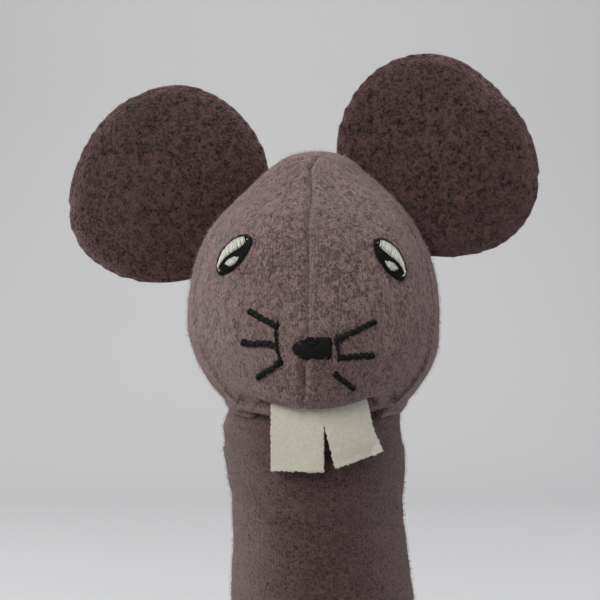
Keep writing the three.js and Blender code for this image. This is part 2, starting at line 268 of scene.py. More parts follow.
def makeStage():
    # the floor runs back and sweeps up into the wall
    profile = [(-stage["wall"], 0.0)]
    steps = 16
    for i in range(steps + 1):
        turn = pi / 2 * i / steps
        profile.append((stage["wall"] - stage["sweep"] * (1 - sin(turn)),
                        stage["sweep"] * (1 - cos(turn))))
    profile.append((stage["wall"], stage["height"]))
    points = [(x, y, z - stage["below"]) for y, z in profile for x in (-stage["half"], stage["half"])]
    thing = newThing("sweep", points, gridFaces(len(profile), 2, flip=False))
    paint = bpy.data.materials.new("paperSweep")
    paint.use_nodes = True
    skin = paint.node_tree.nodes["Principled BSDF"]
    w = Wiring(paint.node_tree)
    # painted shade: the paper's colour darkens from the wall towards the camera
    far = w.remap(w.split(w.place())[1], stage["nearAt"], stage["wall"])
    w.feed(skin, {"Base Color": w.mix(far, (*stage["near"], 1), (*stage["colour"], 1)),
                  "Roughness": 0.95})
    thing.data.materials.append(paint)


makeCamera()
makeLights()
makeStage()
print("camera, lights and stage made")


# shader node groups
def newGroup(kind, name, inputs, outputs):
    # inputs are (title, socket) or (title, socket, default)
    tree = bpy.data.node_groups.new(name, kind + "NodeTree")
    for title, socket, *value in inputs:
        made = tree.interface.new_socket(title, in_out="INPUT", socket_type="NodeSocket" + socket)
        if value:
            made.default_value = value[0]
    for title, socket in outputs:
        tree.interface.new_socket(title, in_out="OUTPUT", socket_type="NodeSocket" + socket)
    w = Wiring(tree)
    return tree, w, w.node("NodeGroupInput").outputs, w.node("NodeGroupOutput").inputs


def knitGroup():
    # stocking stitch: two slanting legs to a wale, softened by felting
    tree, w, given, out = newGroup("Shader", "stockingStitch", [
        ("Cloth", "Vector"), ("Place", "Vector"), ("Wale", "Float", 2.2), ("Course", "Float", 1.8),
        ("Slant", "Float", 1.2), ("Stray", "Float", 0.5)], [("Leg", "Float")])
    cloth = w.split(given["Cloth"])
    strayX = w.math("SUBTRACT", w.noise(given["Place"], 260.0, 2), 0.5)
    strayY = w.math("SUBTRACT", w.noise(given["Place"], 410.0, 2), 0.5)
    u = w.add(cloth[0], w.times(strayX, given["Stray"]))
    v = w.add(cloth[1], w.times(strayY, given["Stray"]))
    wale = w.math("FRACT", w.math("DIVIDE", u, given["Wale"]))
    across = w.math("ABSOLUTE", w.math("SUBTRACT", wale, 0.5))
    along = w.add(w.math("DIVIDE", v, given["Course"]), w.times(across, given["Slant"]))
    legAcross = w.math("SINE", w.times(across, 2 * pi))
    legAlong = w.math("SINE", w.times(w.math("FRACT", along), pi))
    leg = w.times(legAcross, w.add(w.times(legAlong, 0.6), 0.4))
    w.join(leg, out["Leg"])
    return tree


def napGroup():
    # matted wool: pale fibre ends over dark pits, in three sizes
    tree, w, given, out = newGroup("Shader", "woolNap", [
        ("Place", "Vector"), ("Grain", "Float", 900.0), ("Stretch", "Float", 1.0)],
        [("Nap", "Float"), ("Pits", "Float"), ("Patches", "Float")])
    x, y, z = w.split(given["Place"])
    tall = w.times(z, given["Stretch"])
    squeezed = w.feed(w.node("ShaderNodeCombineXYZ"), {0: x, 1: y, 2: tall})
    fine = w.noise(squeezed.outputs[0], given["Grain"], 4, 0.7, 0.6)
    middle = w.noise(squeezed.outputs[0], w.times(given["Grain"], 0.42), 3, 0.6, 0.9)
    broad = w.noise(given["Place"], w.times(given["Grain"], 0.035), 2, 0.5)
    blend = w.add(w.times(fine, 0.55), w.times(middle, 0.45))
    w.join(w.remap(blend, 0.4, 0.6), out["Nap"])
    w.join(w.remap(middle, 0.5, 0.3), out["Pits"])
    w.join(w.remap(broad, 0.3, 0.7), out["Patches"])
    return tree


groups = {"knit": knitGroup(), "nap": napGroup()}


def useGroup(w, key, **values):
    return w.feed(w.node("ShaderNodeGroup", node_tree=groups[key]), values).outputs


def newMaterial(name, roughness=0.95, sheen=0.0, sheenTint=(1, 1, 1), sheenRoughness=0.5, specular=0.3):
    made = bpy.data.materials.new(name)
    made.use_nodes = True
    skin = made.node_tree.nodes["Principled BSDF"]
    w = Wiring(made.node_tree)
    w.feed(skin, {"Roughness": roughness, "Sheen Weight": sheen, "Sheen Tint": (*sheenTint, 1),
                  "Sheen Roughness": sheenRoughness, "Specular IOR Level": specular})
    return made, w, skin


def bumpInto(w, skin, height, strength, distance):
    bump = w.feed(w.node("ShaderNodeBump"), {
        "Strength": strength, "Distance": distance * mm, "Height": height})
    w.join(bump.outputs[0], skin.inputs["Normal"])


def shade(colour, by):
    return (*(c * by for c in colour), 1)


# materials
wool = {
    "headColour": (0.150, 0.098, 0.095),
    "sleeveColour": (0.078, 0.043, 0.043),
    "earColour": (0.050, 0.025, 0.025),
    "wale": 2.2, "course": 1.8, "slant": 1.2, "stray": 0.7, "grain": 1500.0,
}


def knitMaterial(name, colour, sheen, felting, legShare, stretch, pitDepth=0.3):
    made, w, skin = newMaterial(name, 0.97, sheen, (0.95, 0.80, 0.78), 0.4, 0.1)
    place = w.place()
    cloth = w.node("ShaderNodeUVMap", uv_map="cloth").outputs[0]
    knit = useGroup(w, "knit", Cloth=cloth, Place=place, Wale=wool["wale"], Course=wool["course"],
                    Slant=wool["slant"], Stray=wool["stray"])
    nap = useGroup(w, "nap", Place=place, Grain=wool["grain"], Stretch=stretch)
    relief = w.add(w.times(knit["Leg"], legShare),
                    w.times(nap["Nap"], 1 - legShare))
    base = w.mix(w.remap(relief, 0.15, 0.85), shade(colour, 0.28), shade(colour, 1.62))
    pitted = w.mix(w.times(nap["Pits"], pitDepth), base, shade(colour, 0.3))
    patched = w.mix(w.times(nap["Patches"], 0.25), pitted, shade(colour, 0.75))
    w.join(patched, skin.inputs["Base Color"])
    w.join(w.remap(nap["Nap"], 0, 1, 0.88, 1.0), skin.inputs["Roughness"])
    bumpInto(w, skin, relief, 0.8, felting)
    return made


def feltMaterial(name, colour, sheen, grain, low, high, tint=(0.95, 0.82, 0.8), depth=0.5, pits=0.5):
    made, w, skin = newMaterial(name, 0.98, sheen, tint, 0.4, 0.1)
    place = w.place()
    nap = useGroup(w, "nap", Place=place, Grain=grain, Stretch=1.0)
    base = w.mix(nap["Nap"], shade(colour, low), shade(colour, high))
    pitted = w.mix(w.times(nap["Pits"], pits), base, shade(colour, low * 0.7))
    patched = w.mix(w.times(nap["Patches"], pits * 0.4), pitted, shade(colour, 0.8))
    w.join(patched, skin.inputs["Base Color"])
    bumpInto(w, skin, nap["Nap"], 0.8, depth)
    return made


def threadMaterial(name, colour, roughness, sheen, low=0.6, high=1.25, specular=0.45):
    # spun thread: fine streaks along it, a soft gloss
    made, w, skin = newMaterial(name, roughness, sheen, (1, 1, 1), 0.3, specular)
    place = w.place()
    streak = w.noise(place, 2600.0, 3, 0.6, 0.4)
    w.join(w.mix(w.remap(streak, 0.3, 0.7), shade(colour, low), shade(colour, high)),
           skin.inputs["Base Color"])
    w.join(w.remap(streak, 0.3, 0.7, roughness * 0.8, min(1.0, roughness * 1.25)),
           skin.inputs["Roughness"])
    bumpInto(w, skin, streak, 0.5, 0.12)
    return made


def plainFibre(name, colour):
    made, _, skin = newMaterial(name, 0.9, 0.3, (1, 0.95, 0.93), 0.4, 0.2)
    skin.inputs["Base Color"].default_value = (*colour, 1)
    return made


def cardMaterial(name):
    made, w, skin = newMaterial(name, 0.9)
    place = w.place()
    pulp = w.noise(place, 900.0, 4, 0.7, 1.5)
    w.join(w.mix(w.remap(pulp, 0.3, 0.7), (0.33, 0.23, 0.13, 1), (0.52, 0.39, 0.24, 1)),
           skin.inputs["Base Color"])
    bumpInto(w, skin, pulp, 0.3, 0.15)
    return made


recipes = {
    "headKnit": (knitMaterial, wool["headColour"], 0.4, 0.6, 0.15, 0.7),
    "headKnitPlain": (feltMaterial, wool["headColour"], 0.4, 1250.0, 0.42, 1.45,
                      (0.95, 0.80, 0.78), 0.45),
    "sleeveKnit": (knitMaterial, wool["sleeveColour"], 0.45, 0.6, 0.14, 1.35),
    "earFelt": (feltMaterial, wool["earColour"], 0.6, 1050.0, 0.1, 2.1, (0.95, 0.74, 0.72), 0.7),
    "teethFelt": (feltMaterial, (0.475, 0.455, 0.375), 0.15, 1500.0, 0.93, 1.06, (1, 1, 0.95),
                  0.12, 0.06),
    "liningFelt": (feltMaterial, (0.045, 0.028, 0.029), 0.3, 900.0, 0.6, 1.4),
    "wadding": (feltMaterial, (0.75, 0.72, 0.66), 0.3, 400.0, 0.8, 1.15, (1, 1, 1), 1.5),
    "blackThread": (threadMaterial, (0.0022, 0.0022, 0.0022), 0.6, 0.0, 0.4, 2.2, 0.13),
    "whiteThread": (threadMaterial, (0.70, 0.70, 0.63), 0.45, 0.1, 0.35, 1.15),
    "seamThread": (threadMaterial, (0.10, 0.062, 0.06), 0.85, 0.4),
    "greyCard": (cardMaterial,),
    "fibrePale": (plainFibre, (0.36, 0.27, 0.26)),
    "fibreMid": (plainFibre, (0.17, 0.11, 0.107)),
    "fibreDark": (plainFibre, (0.07, 0.04, 0.04)),
    "fibreCream": (plainFibre, (0.66, 0.64, 0.52)),
}
materials = {name: make(name, *values) for name, (make, *values) in recipes.items()}
print("materials made")


# mesh helpers
def makeMesh(name, points, faces, material, cloth=None):
    thing = newThing(name, [tuple(c * mm for c in p) for p in points], faces)
    if cloth is not None:
        layer = thing.data.uv_layers.new(name="cloth")
        for loop in thing.data.loops:
            layer.data[loop.index].uv = cloth[loop.vertex_index]
    thing.data.materials.append(materials[material])
    return thing


def weld(thing, distance=0.02):
    # merges doubles and turns every face outwards
    work = bmesh.new()
    work.from_mesh(thing.data)
    bmesh.ops.remove_doubles(work, verts=work.verts, dist=distance * mm)
    bmesh.ops.dissolve_degenerate(work, edges=work.edges, dist=1e-7)
    bmesh.ops.recalc_face_normals(work, faces=work.faces)
    work.to_mesh(thing.data)
    work.free()
    return thing


def thicken(thing, thickness):
    # gives a sheet its wall, inwards
    wall = thing.modifiers.new("wall", "SOLIDIFY")
    wall.thickness = thickness * mm
    wall.offset = -1
    wall.use_even_offset = False
    applyModifiers(thing)
    return thing


def evaluatedMesh(thing):
    graph = bpy.context.evaluated_depsgraph_get()
    return bpy.data.meshes.new_from_object(thing.evaluated_get(graph), depsgraph=graph)


def applyModifiers(thing):
    bpy.context.view_layer.update()
    mesh = evaluatedMesh(thing)
    thing.modifiers.clear()
    old = thing.data
    thing.data = mesh
    mesh.name = thing.name
    bpy.data.meshes.remove(old)


def place(thing, body, slot, *nodes):
    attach(thing, body)
    if nodes:
        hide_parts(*nodes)
    return thing


def bend(thing, bodies, ends, slot, *nodes):
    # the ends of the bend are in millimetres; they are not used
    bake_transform(thing)
    if nodes:
        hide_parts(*nodes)
    return thing


def lump(x, y, z, size, seed=0.0):
    # smooth unevenness from -1 to 1 over about `size` millimetres
    return noise.noise(Vector((x / size + seed, y / size - seed, z / size + 2 * seed)))


def clamp(value, low=0.0, high=1.0):
    return max(low, min(high, value))


def smooth(value, low, high):
    t = clamp((value - low) / (high - low))
    return t * t * (3 - 2 * t)


# the head's surface
def eggShare(z):
    above = z > head["widest"]
    reach = head["crown"] - head["widest"] if above else head["drop"]
    part = clamp(abs(z - head["widest"]) / reach)
    return (1 - part * part) ** (float(np.interp(part, *head["pointed"])) if above else 0.5)


def sideways(z):
    return -head["leftCheek"] * smooth(z, 190, 212) * (1 - smooth(z, 240, 256))


def muzzlePush(x, z):
    up = (z - head["mouth"] - head["muzzleLift"]) / head["muzzleHalfHeight"]
    return head["muzzleBulge"] * exp(-((x / head["muzzleHalfWidth"]) ** 2) - up * up)


def headPoint(angle, z, grow=0.0):
    # angle 0 is the middle of the face, positive towards +X
    radius = head["radius"] * eggShare(z) + grow
    x, y = radius * sin(angle), -radius * cos(angle)
    return x + sideways(z), y - muzzlePush(x, z) * clamp(2 * cos(angle)), z


def halve(low, high, below):
    # closes in on the value up to which `below` holds
    halvings = 40
    for _ in range(halvings):
        middle = (low + high) / 2
        low, high = (middle, high) if below(middle) else (low, middle)
    return low


def faceY(x, z):
    # front of the face at this x and z
    return headPoint(halve(-pi / 2, pi / 2, lambda angle: headPoint(angle, z)[0] < x), z)[1]


def seamAngle(z):
    # where the face seam crosses this level, to either side of the middle
    wanted = head["seamTop"] - (head["crown"] - z) * head["seamSlope"]
    if headPoint(0, z)[1] > wanted:
        return 0.0
    return halve(0.0, pi / 2, lambda angle: headPoint(angle, z)[1] < wanted)


def outward(angle, z):
    # unit normal by differences
    step = 0.01
    a, b = Vector(headPoint(angle + step, z)), Vector(headPoint(angle - step, z))
    c, d = Vector(headPoint(angle, z + 0.3)), Vector(headPoint(angle, z - 0.3))
    normal = (a - b).cross(c - d)
    return normal.normalized() if normal.length > 1e-9 else Vector((0, 0, 1))


seam = {"dip": 1.35, "width": 0.95, "puff": 0.5, "puffAt": 2.2, "puffHalf": 1.6, "ridge": 1.3,
        "ridgeAt": 1.6, "ridgeHalf": 0.85, "grooveHalf": 0.6, "allowance": 1.6}


def seamDip(distance):
    # how far the cloth sinks into the middle seam, and swells beside it
    sink = seam["dip"] * exp(-((distance / seam["width"]) ** 2))
    swell = seam["puff"] * exp(-(((distance - seam["puffAt"]) / seam["puffHalf"]) ** 2))
    return swell - sink


def seamRidge(distance, z, share=1.0):
    # the face seam shows low on the cheeks as a thin raised edge, and fades above
    low = 1 - smooth(z, 196, 222) * 0.85
    ridge = share * exp(-(((distance - seam["ridgeAt"]) / seam["ridgeHalf"]) ** 2))
    return low * seam["ridge"] * (ridge - 0.7 * exp(-((distance / seam["grooveHalf"]) ** 2)))


def unevenness(p):
    return 0.5 * lump(*p, 14, 3.1) + 0.22 * lump(*p, 5, 7.7)


faceApex = halve(head["widest"], head["crown"], lambda z: seamAngle(z) > 0)


def centreAngle(z):
    # the middle seam's own angle: it stands a few millimetres left of the middle
    # and drifts further left under the nose
    radius = head["radius"] * eggShare(z)
    away = head["centreSeam"] - head["centreDrift"] * smooth(
        head["mouth"] + head["driftTop"] - z, 0, 8)
    return asin(clamp(away / max(radius, 6), -0.9, 0.9))


lipRoll = {"depth": 5.0, "rows": 7, "edge": 3.9, "riseLeft": 0.006, "riseRight": 0.0115,
           "riseMost": 4.4, "swell": 2.4, "swellHalf": 22, "swellAt": 1.2, "swellTall": 3.0,
           "corner": (22, 34), "cornerDrop": 1.0, "closes": (17, 21)}


def lipLevel(x):
    # the upper lip curves up to both sides, more to the right
    rise = lipRoll["riseLeft"] if x < 0 else lipRoll["riseRight"]
    up = lipRoll["edge"] + lipRoll["riseMost"] * tanh(rise * x * x / lipRoll["riseMost"])
    corner = smooth(abs(x), *lipRoll["corner"])
    return head["mouth"] + up * (1 - corner) - lipRoll["cornerDrop"] * corner


def walkRow(spots):
    # adds to each (angle, level) its point on the head and its place along the cloth
    row, u, before = [], 0.0, None
    for angle, z in spots:
        here = Vector(headPoint(angle, z))
        u += (here - before).length if before else 0.0
        before = here
        row.append((angle, here, u))
    return row


def facePanel(name, side):
    rows, columns = 92, 60
    liningTop = span("upper_mouth_lining")[1].z
    points, cloth = [], []
    base = head["mouth"] + 4
    feet = []
    for j in range(columns + 1):
        angle = centreAngle(base) + (side * seamAngle(base) - centreAngle(base)) * j / columns
        feet.append(lipLevel(headPoint(angle, base)[0]))
    height = [0.0] * (columns + 1)
    last = None
    for i in range(-lipRoll["rows"], rows + 1):
        under = max(0, -i) / lipRoll["rows"]
        tuck = seam["allowance"] * smooth(rows - i, 0, 3)
        rise = sin(max(0, i) / rows * pi / 2) ** 0.9
        spots = []
        for j, foot in enumerate(feet):
            z = foot + (faceApex - foot) * rise
            start = centreAngle(z) * clamp((faceApex - z) / 4)
            spots.append((start + (side * seamAngle(z) - start) * j / columns, z))
        row = walkRow(spots)
        width = row[-1][2]
        for j, (angle, here, at) in enumerate(row):
            normal = outward(angle, here.z)
            above = here.z - feet[j]
            push = seamDip(at) * smooth(width, 2, 10) * (0.3 + 0.7 * smooth(above, 0, 8))
            push += seamRidge(width - at, here.z) + unevenness(here)
            push += (lipRoll["swell"] * exp(-(((above - lipRoll["swellAt"]) / lipRoll["swellTall"]) ** 2))
                     * exp(-((here.x / lipRoll["swellHalf"]) ** 4)))
            spot = here + normal * push
            if under:
                # the lip turns under and back towards the lining
                turn = under * pi * 0.5
                inwards = Vector((spot.x, spot.y, 0)).normalized()
                spot = spot - inwards * lipRoll["depth"] * (1 - cos(turn))
                spot.z -= 0.7 * sin(turn * 2) - 1.2 * under
                # beside the teeth it reaches down to the lining and closes the mouth's corner
                drop = min(0.0, liningTop + 0.4 - spot.z) * smooth(abs(spot.x), *lipRoll["closes"])
                spot.z += drop * smooth(under, 0.3, 1)
            if last is not None:
                height[j] += (here - last[j]).length if not under else 0.7
            points.append(spot)
            cloth.append((side * at, height[j]))
        # the seam allowance, turned inwards
        points.append(spot - normal * tuck)
        cloth.append((side * (width + tuck), height[-1]))
        last = [here for _, here, _ in row]
    total = rows + 1 + lipRoll["rows"]
    thing = makeMesh(name, points, gridFaces(total, columns + 2, flip=side < 0), "headKnit", cloth)
    return weld(thing)


def backPanel():
    rows, columns = 96, 150
    points, cloth = [], []
    low = head["mouth"] - head["backHang"]
    for i in range(rows + 1):
        t = i / rows
        z = low + (head["crown"] - low) * sin(t * pi / 2)
        start = seamAngle(z)
        row = walkRow([(start + (2 * pi - 2 * start) * j / columns, z) for j in range(columns + 1)])
        width = row[-1][2]
        sewn = smooth(faceApex - z, -1, 3)
        for number, (angle, here, at) in enumerate(row):
            push = (seamRidge(at, here.z, 0) + seamRidge(width - at, here.z, 0)) * sewn
            push += unevenness(here)
            # the lower edge hangs straight down over the sleeve's end and turns in
            if z < head["mouth"] + head["hangTop"]:
                push += max(0.0, sleeveRadius + 0.2 - head["radius"] * eggShare(z))
            push -= 1.3 * smooth(low + 1.4 - z, 0, 1.4)
            normal = outward(angle, min(z, head["crown"] - 0.4))
            spot = here + normal * push
            allowance = spot - normal * seam["allowance"] * sewn
            strip = [spot]
            if number == 0:
                strip.insert(0, allowance)
            if number == columns:
                strip.append(allowance)
            points += strip
            cloth += [(at - width / 2, z)] * len(strip)
    thing = makeMesh("headBackKnit", points, gridFaces(rows + 1, columns + 3), "headKnit", cloth)
    return weld(thing)


faceLeft = place(facePanel("faceLeftKnit", -1), "head", "head_knit", "face_left")
faceRight = place(facePanel("faceRightKnit", 1), "head", "head_knit", "face_right")
headBack = place(backPanel(), "head", "head_knit", "head_back")
print("head panels made")


# repeated small parts by geometry nodes
def unitStitch():
    # one thread lying along Z, arched towards +X, radius 1 and length 1
    rings, sides, bow = 5, 6, 1.6
    points = []
    for i in range(rings):
        t = i / (rings - 1)
        fat = 0.35 + 0.65 * sin(pi * clamp(t, 0.06, 0.94)) ** 0.5
        for turn in ringAngles(sides):
            points.append((fat * cos(turn) + bow * (sin(pi * t) - 1), fat * sin(turn), t - 0.5))
    thing = newThing("unitStitch", points, rodFaces(rings, sides))
    thing.hide_render = thing.hide_viewport = True
    return thing


def unitFibre(name, seed):
    # a loose wool fibre: a narrow ribbon one unit long that leaves the cloth and bends over
    rng = random.Random(seed)
    lean, curl = rng.uniform(0.5, 1.0), rng.uniform(-0.5, 0.5)
    spine = [(0, 0, 0), (0.35 * lean, 0.2 * curl, 0.28), (0.85 * lean, 0.8 * curl, 0.34)]
    points = []
    for i, (x, y, z) in enumerate(spine):
        half = 0.022 * (1 - 0.4 * i)
        points += [(x, y - half, z), (x, y + half, z + 0.01)]
    newThing(name, points, gridFaces(len(spine), 2), False, fibres)


fibres = bpy.data.collections.new("fibreShapes")
scene.collection.children.link(fibres)
for number in range(4):
    unitFibre(f"fibre{number}", number + 11)
fibres.hide_render = fibres.hide_viewport = True
stitchShape = unitStitch()


def finishTree(w, given, out, **put):
    # puts the shapes on the points and makes them one painted mesh
    put = {key.replace("_", " "): value for key, value in put.items()}
    placed = w.feed(w.node("GeometryNodeInstanceOnPoints"), put)
    real = w.feed(w.node("GeometryNodeRealizeInstances"), {0: placed.outputs[0]})
    paint = w.feed(w.node("GeometryNodeSetMaterial"), {
        "Geometry": real.outputs[0], "Material": given["Material"]})
    w.join(paint.outputs[0], out["Geometry"])


def fibreTree():
    tree, w, given, out = newGroup("Geometry", "strayFibres", [
        ("Geometry", "Geometry"), ("Density", "Float"), ("Seed", "Int"), ("Shortest", "Float"),
        ("Longest", "Float"), ("Shapes", "Collection"), ("Material", "Material")],
        [("Geometry", "Geometry")])
    seed = given["Seed"]
    spread = w.feed(w.node("GeometryNodeDistributePointsOnFaces"), {
        "Mesh": given["Geometry"], "Density": given["Density"], "Seed": seed})
    shapes = w.feed(w.node("GeometryNodeCollectionInfo"), {
        "Separate Children": True, "Collection": given["Shapes"]})
    spin = w.feed(w.node("FunctionNodeRandomValue", data_type="FLOAT_VECTOR"), {
        "Min": (-0.25, -0.3, 0), "Max": (0.25, 0.3, 2 * pi), "Seed": seed})
    turn = w.feed(w.node("FunctionNodeEulerToRotation"), {0: spin.outputs[0]})
    turned = w.feed(w.node("FunctionNodeRotateRotation", rotation_space="LOCAL"), {
        0: spread.outputs["Rotation"], 1: turn.outputs[0]})
    size = w.feed(w.node("FunctionNodeRandomValue", data_type="FLOAT"), {
        2: given["Shortest"], 3: given["Longest"], "Seed": seed})
    finishTree(w, given, out, Points=spread.outputs["Points"], Instance=shapes.outputs[0],
               Pick_Instance=True, Rotation=turned.outputs[0], Scale=size.outputs[1])
    return tree


def stitchTree():
    tree, w, given, out = newGroup("Geometry", "layStitches", [
        ("Geometry", "Geometry"), ("Shape", "Object"), ("Material", "Material")],
        [("Geometry", "Geometry")])
    shape = w.feed(w.node("GeometryNodeObjectInfo"), {"Object": given["Shape"]})

    def read(title):
        kind = w.node("GeometryNodeInputNamedAttribute", data_type="FLOAT_VECTOR")
        return w.feed(kind, {"Name": title}).outputs[0]

    along = w.feed(w.node("FunctionNodeAlignRotationToVector", axis="Z"), {"Vector": read("aim")})
    facing = w.feed(w.node("FunctionNodeAlignRotationToVector", axis="X", pivot_axis="Z"), {
        "Rotation": along.outputs[0], "Vector": read("facing")})
    finishTree(w, given, out, Points=given["Geometry"], Instance=shape.outputs["Geometry"],
               Rotation=facing.outputs[0], Scale=read("size"))
    return tree


trees = {"fibres": fibreTree(), "stitches": stitchTree()}


def grow(name, base, key, material, **inputs):
    # runs one of the trees on a copy of a mesh and keeps the result as a plain mesh
    thing = bpy.data.objects.new(name, base.copy())
    scene.collection.objects.link(thing)
    modifier = thing.modifiers.new("grow", "NODES")
    modifier.node_group = trees[key]
    inputs["Material"] = materials[material]
    for item in trees[key].interface.items_tree:
        if item.item_type == "SOCKET" and item.in_out == "INPUT" and item.name in inputs:
            modifier[item.identifier] = inputs[item.name]
    applyModifiers(thing)
    return thing


def stitches(name, laid, material, body, slot, nodes=()):
    # laid: (from, to, outward, radius) of every stitch, in millimetres
    mesh = bpy.data.meshes.new(name + "Points")
    mesh.from_pydata([tuple((a + b) / 2 * mm) for a, b, _, _ in laid], [], [])
    for title in ("aim", "facing", "size"):
        mesh.attributes.new(title, "FLOAT_VECTOR", "POINT")
    for i, (a, b, out, radius) in enumerate(laid):
        mesh.attributes["aim"].data[i].vector = b - a
        mesh.attributes["facing"].data[i].vector = out
        mesh.attributes["size"].data[i].vector = (radius * mm, radius * mm, (b - a).length * mm)
    thing = grow(name, mesh, "stitches", material, Shape=stitchShape)
    for title in ("aim", "facing", "size"):
        if title in thing.data.attributes:
            thing.data.attributes.remove(thing.data.attributes[title])
    return place(thing, body, slot, *nodes)


def stroke(at, start, end, radius):
    # one stitch; `at` turns a place into its point and the way out of the cloth
    (first, out), (last, _) = at(*start), at(*end)
    return first, last, out, radius


fuzz = {"perMm2": 0.7, "shortest": 1.2, "longest": 2.8, "quickShare": 0.3}


def fuzzOn(base, shades, dense=1.0, longer=1.0, seed=1):
    # loose fibres over a piece, following it; shades is a list of (material, share)
    made = []
    for i, (material, share) in enumerate(shades):
        density = fuzz["perMm2"] * dense * share / (mm * mm) * 1
        thing = grow(f"{base.name}Fuzz{i}", base.data, "fibres", material, Density=density,
                     Seed=seed * 10 + i, Shortest=fuzz["shortest"] * longer * mm,
                     Longest=fuzz["longest"] * longer * mm, Shapes=fibres)
        made.append(thing)
    return made


headShades = [("fibrePale", 0.45), ("fibreMid", 0.55)]
darkShades = [("fibreMid", 0.6), ("fibreDark", 0.4)]
earShades = [("fibreMid", 0.75), ("fibreDark", 0.25)]
for number, panel in enumerate((faceLeft, faceRight, headBack)):
    for thing in fuzzOn(panel, headShades, seed=number + 1):
        place(thing, "head", "head_knit")
print("head fuzz grown")


# sleeve
sleeve = {
    "wall": 2.0,
    "levels": (0, 30, 62, 85, 108, 128, 144, 155, 163, 170, 176, 180),
    "radii": (32.2, 32.2, 32.4, 32.2, 33.0, 31.4, 30.9, 32.2, 32.7, 31.9, 30.0, 28.8),
    "middles": (0, 0, 0.6, 1.6, 2.6, 1.3, -0.1, 0.1, -0.7, -1.0, -0.4, 0),
    "backRadius": 31.6, "backFrom": 163,
    "tuck": 1.2, "tuckLevels": (175, 179),
    "rowStep": 1.3,
    "columns": 150,
    # level, depth and half width of the two creases and of the bulge between jaw and crease
    "crease": (165.8, 2.3, 2.6),
    "lowCrease": (141, 0.9, 3.0),
    "bulge": (172, 1.2, 3.0),
}


def sleevePoint(angle, z, inset=0.0):
    radius = float(np.interp(z, sleeve["levels"], sleeve["radii"]))
    middle = float(np.interp(z, sleeve["levels"], sleeve["middles"]))
    forward = clamp(cos(angle) * 1.4 + 0.5)
    if z > sleeve["backFrom"]:
        radius = sleeve["backRadius"] + (radius - sleeve["backRadius"]) * forward
        radius -= sleeve["tuck"] * smooth(z, *sleeve["tuckLevels"])
    x, y = sin(angle), -cos(angle)
    # soft bends and two slack creases under the jaw
    radius += 0.8 * lump(x * 30, y * 30, z, 26, 2.3) + 0.3 * lump(x * 30, y * 30, z, 8, 4.1)
    level, deep, half = sleeve["bulge"]
    radius += deep * exp(-(((z - level) / half) ** 2)) * clamp(0.5 - x * 1.5) * forward
    level, deep, half = sleeve["crease"]
    away = z - level - 1.5 * x + 1.6 * lump(x * 30, y * 30, 0, 20, 9.0)
    radius -= deep * exp(-((away / half) ** 2)) * forward * (0.55 - 0.45 * x) * (1 - 0.85 * x ** 8)
    level, deep, half = sleeve["lowCrease"]
    radius -= deep * exp(-(((z - level + 5.0 * x) / half) ** 2)) * forward
    radius -= inset
    return x * radius + middle, y * radius, z


def tube(name, low, high, wall, point, closed=True):
    rows = max(4, int(round((high - low) / sleeve["rowStep"])))
    columns = sleeve["columns"]
    points, cloth = [], []
    # an extra row close to each end keeps the shading even up to the edge
    levels = [low + (high - low) * i / rows for i in range(rows + 1)]
    levels = sorted(levels + [low + 0.03, high - 0.03])
    layers = [(0.0, levels)]
    if closed:
        layers.append((wall, levels[::-1]))
    for inset, levels in layers:
        for z in levels:
            for angle in ringAngles(columns):
                points.append(point(angle, z, inset))
                cloth.append((angle * sleeveRadius, z))
    total = len(levels) * len(layers)
    faces = gridFaces(total, columns, wrap=True)
    if closed:
        faces += endToStart(total, columns)
    return makeMesh(name, points, faces, "sleeveKnit", cloth)


rib = {"count": 46, "deep": 0.55, "edge": 0.9, "edgeShare": 0.09}


def ribPoint(angle, z, inset=0.0):
    # the doubled cuff: ribs that pull in, a soft roll at both edges
    part = z / (cuffHigh.z - cuffLow.z)
    edge = 1 - smooth(part, 0, rib["edgeShare"]) * smooth(1 - part, 0, rib["edgeShare"])
    radius = cuffHigh.x - 0.5 - rib["edge"] * edge + rib["deep"] * cos(rib["count"] * angle) - inset
    return sin(angle) * radius, -cos(angle) * radius, z


sleeveParts = [
    # name, low, high, bodies, where the bend starts and ends, nodes
    ("sleeveHem", 30, 62, ("cuff", "forearm"), ((0, 0, 30), (0, 0, 60)), ("sleeve_lower",)),
    ("sleeveForearm", 62, 112, ("forearm", "wrist"), ((0, 0, 72), (0, 0, 104)), ("sleeve_middle",)),
    ("sleeveWristPart", 112, 148, ("wrist", "head"), ((0, 0, 116), (0, 0, 148)), ("sleeve_wrist",)),
    ("sleeveThroat", 148, 180.6, ("head", "jaw"), ((0, -33, 148), (0, -46.5, 172.5)),
     ("sleeve_neck", "throat_fold")),
]
cuff = tube("cuffRib", 0.4, cuffHigh.z - 0.2, 3.2, ribPoint)
place(cuff, "cuff", "sleeve_knit", "sleeve_cuff")
outer = tube("cuffOuter", 0.4, cuffHigh.z - 0.2, 0, ribPoint, closed=False)
for thing in fuzzOn(outer, darkShades, dense=0.5, seed=21):
    place(thing, "cuff", "sleeve_knit")
bpy.data.objects.remove(outer)
for number, (name, low, high, bodies, ends, nodes) in enumerate(sleeveParts):
    part = tube(name, low, high, sleeve["wall"], sleevePoint)
    outer = tube(name + "Outer", low, high, 0, sleevePoint, closed=False)
    loose = fuzzOn(outer, darkShades, seed=31 + number)
    bpy.data.objects.remove(outer)
    for thing in [part] + loose:
        bend(thing, bodies, ends, "sleeve_knit")
    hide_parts(*nodes)
print("sleeve made")


